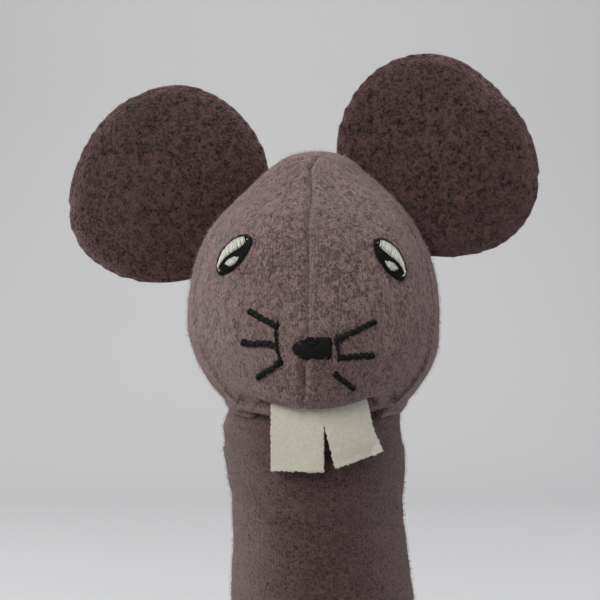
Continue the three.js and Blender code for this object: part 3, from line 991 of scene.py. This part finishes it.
# mouth: linings, cards and the padded lower lip
def mouthSheet(name, body, node, inset, thick=1.5, back=7.0):
    # a half-ellipse of felt with a soft edge
    level = span(node)[1].z
    halfX, halfY = sleeveRadius - 0.5 - inset, -lipFront - inset
    rings, spokes = 14, 48
    points = []
    for up, sign in ((level, 1), (level - thick, -1)):
        for i in range(rings + 1):
            t = i / rings
            for j in range(spokes + 1):
                turn = pi * j / spokes
                x, y = -halfX * cos(turn) * t, back - (halfY + back) * sin(turn) * t
                bow = 0.35 * lump(x, y, level, 12, 3.3)
                points.append((x, y, up + bow - sign * thick * 0.35 * smooth(t, 0.93, 1.0)))
    layer = (rings + 1) * (spokes + 1)
    faces = backed(gridFaces(rings + 1, spokes + 1), layer)
    rim = rings * (spokes + 1)
    for j in range(spokes):
        faces.append((rim + j, rim + j + 1, layer + rim + j + 1, layer + rim + j))
    for i in range(rings):
        for at in (0, spokes):
            a, b = i * (spokes + 1) + at, (i + 1) * (spokes + 1) + at
            faces.append((a, b, layer + b, layer + a))
    thing = weld(makeMesh(name, points, faces, "liningFelt"))
    place(thing, body, "lining", node)


mouthSheet("mouthLiningUpper", "head", "upper_mouth_lining", 1.5)
mouthSheet("mouthLiningLower", "jaw", "lower_mouth_lining", 3.5)
for node in ("upper_mouth_board", "lower_mouth_board"):
    card = frame["nodes"][node]
    card.data.materials.clear()
    card.data.materials.append(materials["greyCard"])


def padOf(name, points, faces, material, cap, pressure=4.0, voxel=3.0, frames=20):
    # blows a closed form up a little as cloth, so that it is plump between its seams
    thing = weld(makeMesh(name, points, faces, material))
    remesh = thing.modifiers.new("remesh", "REMESH")
    remesh.mode, remesh.voxel_size = "VOXEL", voxel * mm
    applyModifiers(thing)
    start = np.array([v.co for v in thing.data.vertices])
    cloth = thing.modifiers.new("cloth", "CLOTH")
    cloth.settings.use_pressure = True
    cloth.settings.uniform_pressure_force = pressure
    cloth.settings.effector_weights.gravity = 0
    cloth.settings.quality = 6
    cloth.point_cache.frame_start, cloth.point_cache.frame_end = 1, frames
    for step in range(1, frames + 1):
        scene.frame_set(step)
    mesh = evaluatedMesh(thing)
    moved = np.array([v.co for v in mesh.vertices]) - start
    thing.modifiers.clear()
    scene.frame_set(1)
    length = np.linalg.norm(moved, axis=1, keepdims=True)
    keep = np.minimum(1, cap * mm / np.maximum(length, 1e-9))
    for vertex, to in zip(thing.data.vertices, start + moved * keep):
        vertex.co = to
    finer = thing.modifiers.new("finer", "SUBSURF")
    finer.levels = finer.render_levels = 1
    applyModifiers(thing)
    for face in thing.data.polygons:
        face.use_smooth = True
    thing.data.materials.clear()
    thing.data.materials.append(materials[material])
    return thing


lipShape = {"high": 8.0, "deep": 6.6, "level": 0.7, "rise": 0.003, "rightRise": 0.0035,
            "sideRise": 0.3, "sideHigh": 0.4, "sideOut": 1.6}


def lowerLip():
    points = []
    along, around = 90, 20
    for i in range(along + 1):
        turn = pi * (i / along - 0.5) * 0.985
        side = abs(sin(turn))
        cx = (sleeveRadius - 2.4) * sin(turn)
        cy = (lipFront + 2.9) * cos(turn)
        rise = lipShape["rise"] + (lipShape["rightRise"] if cx > 0 else 0)
        cz = head["mouth"] + lipShape["level"] + rise * cx * cx + lipShape["sideRise"] * side ** 8
        fat = sqrt(max(0.0, 1 - (abs(2 * i / along - 1)) ** 14)) * 0.98 + 0.02
        normal = Vector((sin(turn) / sleeveRadius, -cos(turn) / -lipFront, 0)).normalized()
        for spin in ringAngles(around):
            out = cos(spin) * lipShape["deep"] / 2 * fat
            out += lipShape["sideOut"] * exp(-(((side - 0.86) / 0.1) ** 2))
            up = sin(spin) * lipShape["high"] / 2 * fat * (1 + lipShape["sideHigh"] * side ** 5)
            bulge = 1 + 0.1 * lump(cx, cy, cz + up, 7, 8.1)
            points.append((cx + normal.x * out * bulge, cy + normal.y * out * bulge, cz + up * bulge))
    return padOf("lowerLipRoll", points, rodFaces(along + 1, around),
                 "headKnitPlain", 1.2, 3.0, 1.6)


lip = place(lowerLip(), "jaw", "head_knit", "lower_lip")
for thing in fuzzOn(lip, headShades, dense=0.9, seed=51):
    place(thing, "jaw", "head_knit")
print("mouth made")


# teeth: one piece of felt, slit between the two
teeth = {
    "columns": 30, "rows": 52, "thick": 1.2, "ragged": 0.36, "bow": 0.9,
    "slitTop": 7.4, "slitAt": 2.4, "slitWide": 3.8, "rightUp": 6.5, "rightOut": 4.3, "topIn": 2.2,
    "sewnUp": 1.2,  # how far it reaches up behind the lip
    "bendTop": 0.6, "bendFoot": -3.0,  # measured from the mouth
}


def teethFelt():
    rng = random.Random(5)
    left, topRight = teethLow.x, teethHigh.x - teeth["rightOut"]
    low = teethLow.z
    tip = teeth["slitTop"] / (teethHigh.z - low)
    points, faces = [], []
    for block in (0, 1):
        base = len(points)
        for i in range(teeth["rows"] + 1):
            t = i / teeth["rows"]
            slitLeft = teeth["slitAt"] + rng.uniform(-1, 1) * 0.15
            slitRight = teeth["slitAt"] + teeth["slitWide"] * min(1.0, max(0.0, (t - tip) / (1 - tip)))
            if t <= tip:
                slitLeft = slitRight = teeth["slitAt"]
            ragged = rng.uniform(-1, 1) * teeth["ragged"]
            if block == 0:
                xa, xb = left + ragged * 0.6, slitLeft
            else:
                xa = slitRight + (ragged * 0.6 if t > tip else 0)
                xb = topRight + teeth["rightOut"] * t - teeth["topIn"] * (1 - t) + ragged * 0.6
            for j in range(teeth["columns"] + 1):
                s = j / teeth["columns"]
                up = smooth(t, tip, 1.0) * block
                foot = low + up * (1.0 + (teeth["rightUp"] - 1.0) * s)
                tatter = rng.uniform(-1, 1) * teeth["ragged"] * smooth(t, 0.9, 1)
                x = xa + (xb - xa) * s
                sewnAt = lipLevel(x) + teeth["sewnUp"]
                z = sewnAt + (foot - sewnAt) * t + tatter
                y = teethLow.y + teeth["thick"] / 2
                y -= teeth["bow"] * sin(pi * min(1, t * 1.1)) * (0.5 + 0.5 * t)
                y += 0.03 * abs(x - 1.3) ** 1.6 + 0.25 * lump(x, 0, z, 7, 2.2)
                points.append((x, min(y, teethLow.y + 3.4), z))
        grid = gridFaces(teeth["rows"] + 1, teeth["columns"] + 1, flip=True)
        faces += [tuple(base + v for v in face) for face in grid]
    thing = makeMesh("teethPiece", points, faces, "teethFelt")
    weld(thing, 0.005)
    return thicken(thing, teeth["thick"])


def hingeTeeth(thing, *nodes):
    # what is above the hinge is sewn inside the lip; the hinge's ends are passed on but bend does not use
    # them
    ends = [(0, teethLow.y, head["mouth"] + teeth[key]) for key in ("bendTop", "bendFoot")]
    return bend(thing, ("head", "teeth"), ends, "teeth_felt", *nodes)


felt = hingeTeeth(teethFelt(), "teeth_felt")
for thing in fuzzOn(felt, [("fibreCream", 1.0)], dense=0.35, longer=0.45, seed=61):
    hingeTeeth(thing)
print("teeth made")


# ears: two felt discs sewn together round a little wadding
earOut = {"left": Vector((-0.793, 0, 0.609)), "right": Vector((0.736, 0, 0.677))}
# how far the cut edge stands from the ear's middle, in shares of its radius, every 15 degrees
# anticlockwise from the viewer's right
earOutline = {
    "left": (0.975, 0.97, 0.965, 0.958, 0.97, 0.98, 0.98, 0.94, 0.925, 0.915, 0.925, 0.945,
             1.0, 1.08, 1.13, 1.112, 1.068, 1.02, 0.975, 0.97, 0.985, 0.99, 0.985, 0.98),
    "right": (0.954, 0.909, 0.86, 0.842, 0.872, 0.92, 0.975, 1.008, 1.016, 1.015, 1.018, 1.008,
              1.0, 0.99, 0.985, 0.98, 0.985, 0.99, 0.995, 1.038, 1.081, 1.105, 1.08, 1.03),
}
earShape = {"middle": 6.4, "rim": 4.6, "cap": 1.6, "root": 3.0, "buried": 12, "seamIn": 1.4,
            "seamDeep": 0.5, "curl": 2.2}


def earEdge(side, turn):
    # between two of the outline's points
    outline = earOutline[side]
    at = (turn / (2 * pi) % 1) * len(outline)
    first, part = int(at) % len(outline), at - int(at)
    return outline[first] * (1 - part) + outline[(first + 1) % len(outline)] * part


def ear(side):
    out, joint = earOut[side], jointAt[f"ear_{side}_flap"]
    low, high = span(f"ear_{side}_front")
    radius = (high.z - low.z) / 2
    cz = (high.z + low.z) / 2
    cx = low.x + radius if side == "left" else high.x - radius
    cy = (low.y + span(f"ear_{side}_back")[1].y) / 2
    rings, spokes = 16, 84
    points = []
    for sign in (-1, 1):
        for i in range(rings + 1):
            t = i / rings
            for turn in ringAngles(spokes):
                edge = radius - 0.6 + 0.9 * lump(cos(turn) * 30, 0, sin(turn) * 30, 18, 3)
                x, z = cx + edge * t * cos(turn), cz + edge * t * sin(turn)
                half = (earShape["rim"] + (earShape["middle"] - earShape["rim"]) * (1 - t ** 2)) / 2
                half *= sqrt(max(0.0, 1 - t ** 10)) if i < rings else 0.0
                points.append((x, cy + sign * half, z))
    layer = (rings + 1) * spokes
    faces = backed(gridFaces(rings + 1, spokes, wrap=True), layer)
    thing = padOf(f"ear{side.capitalize()}Felt", points, faces, "earFelt", earShape["cap"], 3.0, 2.6)
    # the remesh leaves a stepped rim, so it is brought back to a smooth round
    bins = 72
    furthest = [1e-6] * bins
    for vertex in thing.data.vertices:
        dx, dz = vertex.co.x / mm - cx, vertex.co.z / mm - cz
        slot = int((atan2(dz, dx) / (2 * pi) % 1) * bins) % bins
        furthest[slot] = max(furthest[slot], hypot(dx, dz))
    for vertex in thing.data.vertices:
        dx, dz = vertex.co.x / mm - cx, vertex.co.z / mm - cz
        at = (atan2(dz, dx) / (2 * pi) % 1) * bins - 0.5
        first, part = int(floor(at)) % bins, at - floor(at)
        edge = furthest[first] * (1 - part) + furthest[(first + 1) % bins] * part
        turn = atan2(dz, dx)
        rounded = sum(earEdge(side, turn + radians(k)) for k in (-12, -6, 0, 6, 12)) / 5
        wanted = radius * rounded + 0.25 * lump(dx * 30 / edge, 1, dz * 30 / edge, 12, 3)
        scale = 1 + (wanted / edge - 1) * smooth(hypot(dx, dz) / edge, 0.3, 0.95)
        vertex.co.x = (cx + dx * scale) * mm
        vertex.co.z = (cz + dz * scale) * mm
    for vertex in thing.data.vertices:
        p = vertex.co / mm
        dx, dz = p.x - cx, p.z - cz
        reach = hypot(dx, dz)
        edge = radius * earEdge(side, atan2(dz, dx))
        groove = exp(-(((edge - earShape["seamIn"] - reach) / 0.8) ** 2))
        sign = 1 if p.y > cy else -1
        p.y -= sign * earShape["seamDeep"] * groove
        p.y += 1.1 * lump(p.x, 0, p.z, 30, 6.6) + 0.25 * lump(p.x, sign, p.z, 7, 2.6)
        outer = 1 - smooth(-(dx * out.x + dz * out.z), 0, radius)
        p.y += earShape["curl"] * ((reach / radius) ** 2 - 0.4) * outer
        vertex.co = p * mm
    # the part inside the head is cut away beyond a short buried flap
    work = bmesh.new()
    work.from_mesh(thing.data)
    inner = (joint - out * earShape["buried"]) * mm
    everything = work.verts[:] + work.edges[:] + work.faces[:]
    cut = bmesh.ops.bisect_plane(work, geom=everything, dist=1e-6, plane_co=inner, plane_no=out,
                                 clear_inner=True)
    rim = [e for e in cut["geom_cut"] if isinstance(e, bmesh.types.BMEdge)]
    bmesh.ops.holes_fill(work, edges=rim)
    bmesh.ops.recalc_face_normals(work, faces=work.faces)
    work.to_mesh(thing.data)
    work.free()
    ends = joint - out * 2.5, joint + out * earShape["root"]
    seed = 71 if side == "left" else 81
    loose = fuzzOn(thing, earShades, dense=1.2, longer=0.75, seed=seed)
    for item in [thing] + loose:
        bend(item, ("head", f"ear_{side}"), ends, "ear_felt")
    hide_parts(*(f"ear_{side}_{part}" for part in ("front", "back", "wadding", "root")))


for side in earOut:
    ear(side)
print("ears made")


# sewn seams of the head
def seamRope(name, path, radius, node, step, slant):
    # small slanting stitches along a path of (point, outward)
    laid, walked = [], 0.0
    for (a, outA), (b, _) in zip(path[:-1], path[1:]):
        walked += (b - a).length
        if walked < step:
            continue
        walked = 0.0
        along = (b - a).normalized()
        across = along.cross(outA).normalized()
        half = along * step * 0.62 + across * step * slant * 0.5
        laid.append((a - half, a + half, outA, radius))
    stitches(name, laid, "seamThread", "head", "seam_thread", (node,))


def onHead(angle, z, lift):
    return Vector(headPoint(angle, z)) + outward(angle, z) * lift, outward(angle, z)


def headPath(angleAt, top, lift, steps=400):
    # up the head from just above the mouth
    low, path = head["mouth"] + 2.5, []
    for i in range(steps):
        z = low + (faceApex - top - head["mouth"] - 2.5) * i / (steps - 1)
        path.append(onHead(angleAt(z), z, lift))
    return path


seamRope("centreSeamStitches", headPath(centreAngle, 3, -1.15), 0.26, "centre_seam", 1.6, 0.35)
sidePath = headPath(lambda z: -seamAngle(z), 0.3, -0.35)
sidePath += headPath(seamAngle, 0.3, -0.35)[::-1]
seamRope("faceSeamStitches", sidePath, 0.28, "face_seam", 1.7, 0.4)
print("seams made")


# embroidery
def onFace(x, z, lift):
    y = faceY(x, z)
    angle = atan2(x - sideways(z), -(y + muzzlePush(x, z)))
    out = outward(angle, z)
    return Vector((x, y, z)) + out * lift, out


def eyeFrame(side):
    low, high = span(f"eye_{side}_ground")
    centre = ((low.x + high.x) / 2, (low.z + high.z) / 2)
    turn = radians(50 if side == "left" else 125.5)
    along = (cos(turn), sin(turn))
    away = (-along[1], along[0]) if side == "left" else (along[1], -along[0])
    return centre, along, away


eye = {
    "long": 8.2, "outer": 4.5, "inner": 3.05, "dome": 0.9, "thread": 0.24, "whiteThread": 0.175,
    # along, inner edge, outer edge
    "crescent": ((-6.8, 1.2, 1.5), (-5.2, 1.5, 2.6), (-3.9, 1.6, 3.2), (-2, 1.6, 3.75), (0, 1.2, 3.95),
                 (2, 0.7, 3.85), (4, 0.1, 3.3), (5.4, -0.3, 2.6), (6.6, -0.2, 1.6)),
    "leaf": ((-3.7, -0.2, 0.2), (-3.2, -1.5, 0.3), (-2.4, -2.0, 0.2), (-1.2, -2.15, -0.15),
             (-0.2, -2.15, -0.6), (0.4, -2.1, -1.2), (0.9, -2.05, -1.8)),
}


def eyeHalf(b):
    return eye["outer"] if b > 0 else eye["inner"]


def makeEye(side):
    centre, axis, away = eyeFrame(side)
    rng = random.Random(3 if side == "left" else 4)

    def spot(a, b, lift):
        x = centre[0] + axis[0] * a + away[0] * b
        z = centre[1] + axis[1] * a + away[1] * b
        part = clamp((a / eye["long"]) ** 2 + (b / eyeHalf(b)) ** 2)
        return onFace(x, z, lift + eye["dome"] * sqrt(1 - part))

    points, rings, spokes = [], 8, 40
    # the last two rings go down into the cloth
    for i, lift in enumerate([0.05] * rings + [-0.6, -1.2]):
        t = min(1, i / rings)
        for turn in ringAngles(spokes):
            a, b = eye["long"] * cos(turn) * t, sin(turn) * t
            points.append(spot(a, b * eyeHalf(b), lift)[0])
    faces = gridFaces(rings + 2, spokes, wrap=True)
    faces.append(tuple((rings + 1) * spokes + j for j in range(spokes)))
    ground = weld(makeMesh(f"eye{side.capitalize()}Ground", points, faces, "blackThread"))
    place(ground, "head", "black_thread", f"eye_{side}_ground")

    black, white = [], []
    fine = eye["whiteThread"]

    def lay(into, a0, b0, a1, b1, lift, radius):
        jitter = [rng.uniform(-0.12, 0.12) for _ in range(4)]
        into.append(stroke(spot, (a0 + jitter[0], b0 + jitter[1], lift),
                           (a1 + jitter[2], b1 + jitter[3], lift), radius * rng.uniform(0.85, 1.1)))

    thread = eye["thread"]
    # long threads fill the middle, a satin cord runs round the edge
    for i in range(17):
        b = -eye["inner"] * 0.85 + (eye["inner"] + eye["outer"]) * 0.85 * i / 16
        half = eye["long"] * sqrt(max(0.05, 1 - (b / eyeHalf(b)) ** 2)) * 0.92
        for a0, a1 in ((-half, -half * 0.2), (-half * 0.45, half * 0.5), (half * 0.15, half)):
            lay(black, a0, b, a1, b, 0.35, thread)
    for turn in ringAngles(62):
        a, b = eye["long"] * cos(turn), eyeHalf(sin(turn)) * sin(turn)
        lay(black, a * 0.9 - 0.3, b * 0.84 - 0.2, a * 1.04 + 0.3, b * 1.06 + 0.2, 0.4, thread)

    # white satin stitches across both light shapes: how many, from, length, fixed lean, sloped lean
    for table, count, low, long, lean, slope in (("crescent", 38, -6.8, 13.4, 0.0, 0.32),
                                                 ("leaf", 14, -3.6, 4.4, 0.15, 0.0)):
        along, inners, outers = zip(*eye[table])
        for i in range(count):
            a = low + long * i / (count - 1)
            inner, outer = float(np.interp(a, along, inners)), float(np.interp(a, along, outers))
            shift = lean + slope * (outer - inner)
            lay(white, a - shift, inner, a + shift, outer, 0.62, fine)
    lay(white, -7.0, 0.3, -6.8, 0.9, 0.5, thread)
    lay(white, -6.4, 1.6, -6.0, 2.3, 0.5, fine)
    lay(white, 7.2, 0.2, 7.4, -0.2, 0.5, fine)
    stitches(f"eye{side.capitalize()}Black", black, "blackThread", "head", "black_thread")
    stitches(f"eye{side.capitalize()}White", white, "whiteThread", "head", "white_thread",
             (f"eye_{side}_highlight", f"eye_{side}_glint"))


for side in ("left", "right"):
    makeEye(side)
print("eyes made")


nose = {"rows": 15, "thread": 0.27, "stand": 1.4}


def makeNose():
    low, high = span("nose")
    cx, cz = (low.x + high.x) / 2, (low.z + high.z) / 2
    halfX, halfZ = (high.x - low.x) / 2, (high.z - low.z) / 2
    rng = random.Random(8)

    def spot(x, z, lift):
        u, v = (x - cx) / halfX, (z - cz) / halfZ
        stand = nose["stand"] * max(0.0, 1 - abs(u) ** 3.2) ** 0.5 * max(0.0, 1 - abs(v) ** 2.6) ** 0.5
        return onFace(x, z, lift + stand)

    def width(v):
        # rounded on the left, square on the right, narrower along the top left
        taper = (0.8 if v > 0 else 0.6) * abs(v) ** 1.6
        return -halfX * (1 - taper), halfX * (1 - 0.08 * abs(v) ** 4)

    rows, columns = 16, 24
    points = []
    for lift in (-0.15, -1.5):
        for i in range(rows + 1):
            v = -1 + 2 * i / rows
            a, b = width(v)
            for j in range(columns + 1):
                x = cx + a + (b - a) * j / columns
                points.append(spot(x, cz + v * halfZ, lift)[0])
    layer = (rows + 1) * (columns + 1)
    faces = backed(gridFaces(rows + 1, columns + 1), layer)
    ring = list(range(columns + 1))
    ring += [i * (columns + 1) + columns for i in range(1, rows + 1)]
    ring += [rows * (columns + 1) + j for j in range(columns - 1, -1, -1)]
    ring += [i * (columns + 1) for i in range(rows - 1, 0, -1)]
    for a, b in zip(ring, ring[1:] + ring[:1]):
        faces.append((a, b, layer + b, layer + a))
    ground = weld(makeMesh("noseGround", points, faces, "blackThread"))
    place(ground, "head", "black_thread", "nose")
    laid = []
    for i in range(nose["rows"]):
        v = -0.97 + 1.94 * i / (nose["rows"] - 1)
        a, b = width(v)
        z = cz + v * halfZ
        splits = [0.0, rng.uniform(0.22, 0.42), rng.uniform(0.55, 0.8), 1.0]
        for s0, s1 in zip(splits[:-1], splits[1:]):
            x0 = cx + a + (b - a) * (s0 - 0.04) + rng.uniform(-0.15, 0.15)
            x1 = cx + a + (b - a) * (s1 + 0.04) + rng.uniform(-0.15, 0.15)
            laid.append(stroke(spot, (x0, z + rng.uniform(-0.1, 0.1), 0.1),
                               (x1, z + rng.uniform(-0.1, 0.1), 0.1),
                               nose["thread"] * rng.uniform(0.9, 1.1)))
    stitches("noseThreads", laid, "blackThread", "head", "black_thread")


makeNose()

whisker = {"thread": 0.86, "step": 2.15, "length": 3.6, "slant": 0.85, "linkThread": 0.55,
           "halfWidth": 1.1, "lift": 0.55, "knotLift": 0.8}
whiskerKnots = {"left_top": 1.0, "left_middle": 1.3, "left_bottom": 1.1,
                "right_top": 0.35, "right_middle": 1.1, "right_bottom": 1.1}
whiskerReach = {"left_top": 0.3, "left_middle": 0.5, "left_bottom": -0.4,  # past the inner ends
                "right_top": 1.9, "right_middle": 1.3, "right_bottom": 0.9}


def whiskerEnds(name):
    # a stroke runs from corner to corner of its box
    low, high = span(f"whisker_{name}")
    half = whisker["halfWidth"]
    left = name.startswith("left")
    xs = (high.x - half, low.x + half) if left else (low.x + half, high.x - half)
    zs = (low.z + half, high.z - half) if "top" in name else (high.z - half, low.z + half)
    if "middle" in name:
        zs = ((low.z + high.z) / 2,) * 2
    inner, tip = Vector((xs[0], 0, zs[0])), Vector((xs[1], 0, zs[1]))
    inner += (inner - tip).normalized() * whiskerReach[name]
    return inner, tip


def rope(a, b, radius, slants, rng):
    # overlapping slanting stitches from a to b
    length = (b - a).length
    along = (b - a) / length
    across = Vector((-along.z, 0, along.x))
    count = max(2, round(length / whisker["step"]))
    laid = []
    for i in range(count + 1):
        here = a + along * length * i / count + across * rng.uniform(-0.2, 0.2)
        for sign in slants:
            reach = along * whisker["length"] * 0.5
            slant = across * whisker["slant"] * sign
            start, end = here - reach + slant, here + reach - slant
            lift = whisker["lift"]
            laid.append(stroke(onFace, (start.x, start.z, lift), (end.x, end.z, lift),
                               radius * rng.uniform(0.82, 1.12)))
    return laid


def makeWhiskers(side):
    rng = random.Random(17 if side == "left" else 18)
    inners = []
    for which in ("top", "middle", "bottom"):
        name = f"{side}_{which}"
        inner, tip = whiskerEnds(name)
        inners.append(inner)
        along = (tip - inner).normalized()
        across = Vector((-along.z, 0, along.x))
        laid = rope(inner + along * 0.8, tip - along * 0.8, whisker["thread"], (1, -1), rng)
        for k in range(5):
            turn = pi * k / 5
            arm = (along * cos(turn) + across * sin(turn)) * whiskerKnots[name]
            laid.append(stroke(onFace, (tip.x - arm.x, tip.z - arm.z, whisker["knotLift"]),
                               (tip.x + arm.x, tip.z + arm.z, whisker["knotLift"]),
                               whisker["thread"]))
        stitches(f"whisker{side.capitalize()}{which.capitalize()}", laid, "blackThread", "head",
                 "black_thread", (f"whisker_{name}",))
    thin = rope(inners[0], inners[1], whisker["linkThread"], (0.35,), rng)
    if side == "left":
        thin += rope(inners[1], inners[2], whisker["linkThread"], (0.35,), rng)
    stitches(f"whisker{side.capitalize()}Link", thin, "blackThread", "head", "black_thread",
             (f"whisker_{side}_link",))


for side in ("left", "right"):
    makeWhiskers(side)
print("nose and whiskers made")


# inside the head: a felt finger pocket and the wadding round it
def pocketShape(t):
    # up the wall and over the rounded top: shares of the height and of the width
    wall = 0.6  # where the wall ends
    dome = max(0.0, (t - wall) / (1 - wall))
    rise = 0.72 * min(1.0, t / wall) + 0.28 * sin(dome * pi / 2)
    return rise, cos(dome * pi / 2) if dome < 1 else 0.0


def pouch():
    low, high = span("finger_pocket")
    cx, cy = (low.x + high.x) / 2, (low.y + high.y) / 2
    halfX, halfY = (high.x - low.x) / 2 - 0.2, (high.y - low.y) / 2 - 0.2
    rows, columns, thick = 26, 60, 1.1
    points = []
    for inset, order in ((0.0, range(rows + 1)), (thick, range(rows, -1, -1))):
        for i in order:
            rise, share = pocketShape(i / rows)
            z = low.z + (high.z - low.z - 0.4) * rise
            for turn in ringAngles(columns):
                slack = 0.5 * lump(cos(turn) * 25, sin(turn) * 25, z, 14, 5.0) - 0.5
                rx = max(0.0, (halfX - inset + slack) * share)
                ry = max(0.0, (halfY - inset + slack) * share)
                points.append((cx + rx * cos(turn), cy + ry * sin(turn), z - inset * (1 - share)))
    total = 2 * (rows + 1)
    faces = gridFaces(total, columns, wrap=True) + endToStart(total, columns)
    thing = weld(makeMesh("fingerPouch", points, faces, "liningFelt"))
    place(thing, "head", "lining", "finger_pocket")


def wadding():
    low, high = span("head_stuffing")
    pocketLow, pocketHigh = span("finger_pocket")
    rows, columns = 40, 72
    bottom = low.z + 0.4
    points = []
    for i in range(rows + 1):
        for angle in ringAngles(columns):
            front = headPoint(angle, bottom + 4, -3.6)
            # at the front its lower edge keeps above the lip
            foot = bottom + max(0.0, lipLevel(front[0]) + 2.2 - bottom) * smooth(-front[1], 2, 14)
            z = foot + (high.z - 0.8 - foot) * sin(pi / 2 * i / rows)
            p = Vector(headPoint(angle, z, -3.6))
            shrink = 0.6 * lump(*p, 12, 4.4)
            radius = max(0.0, headPoint(0, z)[1] * -1)
            scale = (1 + shrink / radius) if radius > 4 else 1
            points.append((p.x * scale, p.y * scale, z))
    # down inside, over the pocket
    half, centre = (pocketHigh - pocketLow) / 2, (pocketHigh + pocketLow) / 2
    layer = len(points)
    for i in range(rows + 1):
        rise, share = pocketShape(i / rows)
        z = bottom + (pocketHigh.z + 1.4 - bottom) * rise
        for angle in ringAngles(columns):
            points.append((centre.x + (half.x + 0.8) * share * sin(angle),
                           centre.y - (half.y + 0.8) * share * cos(angle), z))
    faces = backed(gridFaces(rows + 1, columns, wrap=True), layer)
    for j in range(columns):
        k = (j + 1) % columns
        faces.append((k, j, layer + j, layer + k))
    thing = weld(makeMesh("headWadding", points, faces, "wadding"))
    place(thing, "head", "wadding", "head_stuffing")


pouch()
wadding()
print("inside made")

for thing in list(fibres.objects) + [stitchShape]:
    bpy.data.objects.remove(thing)
bpy.data.collections.remove(fibres)
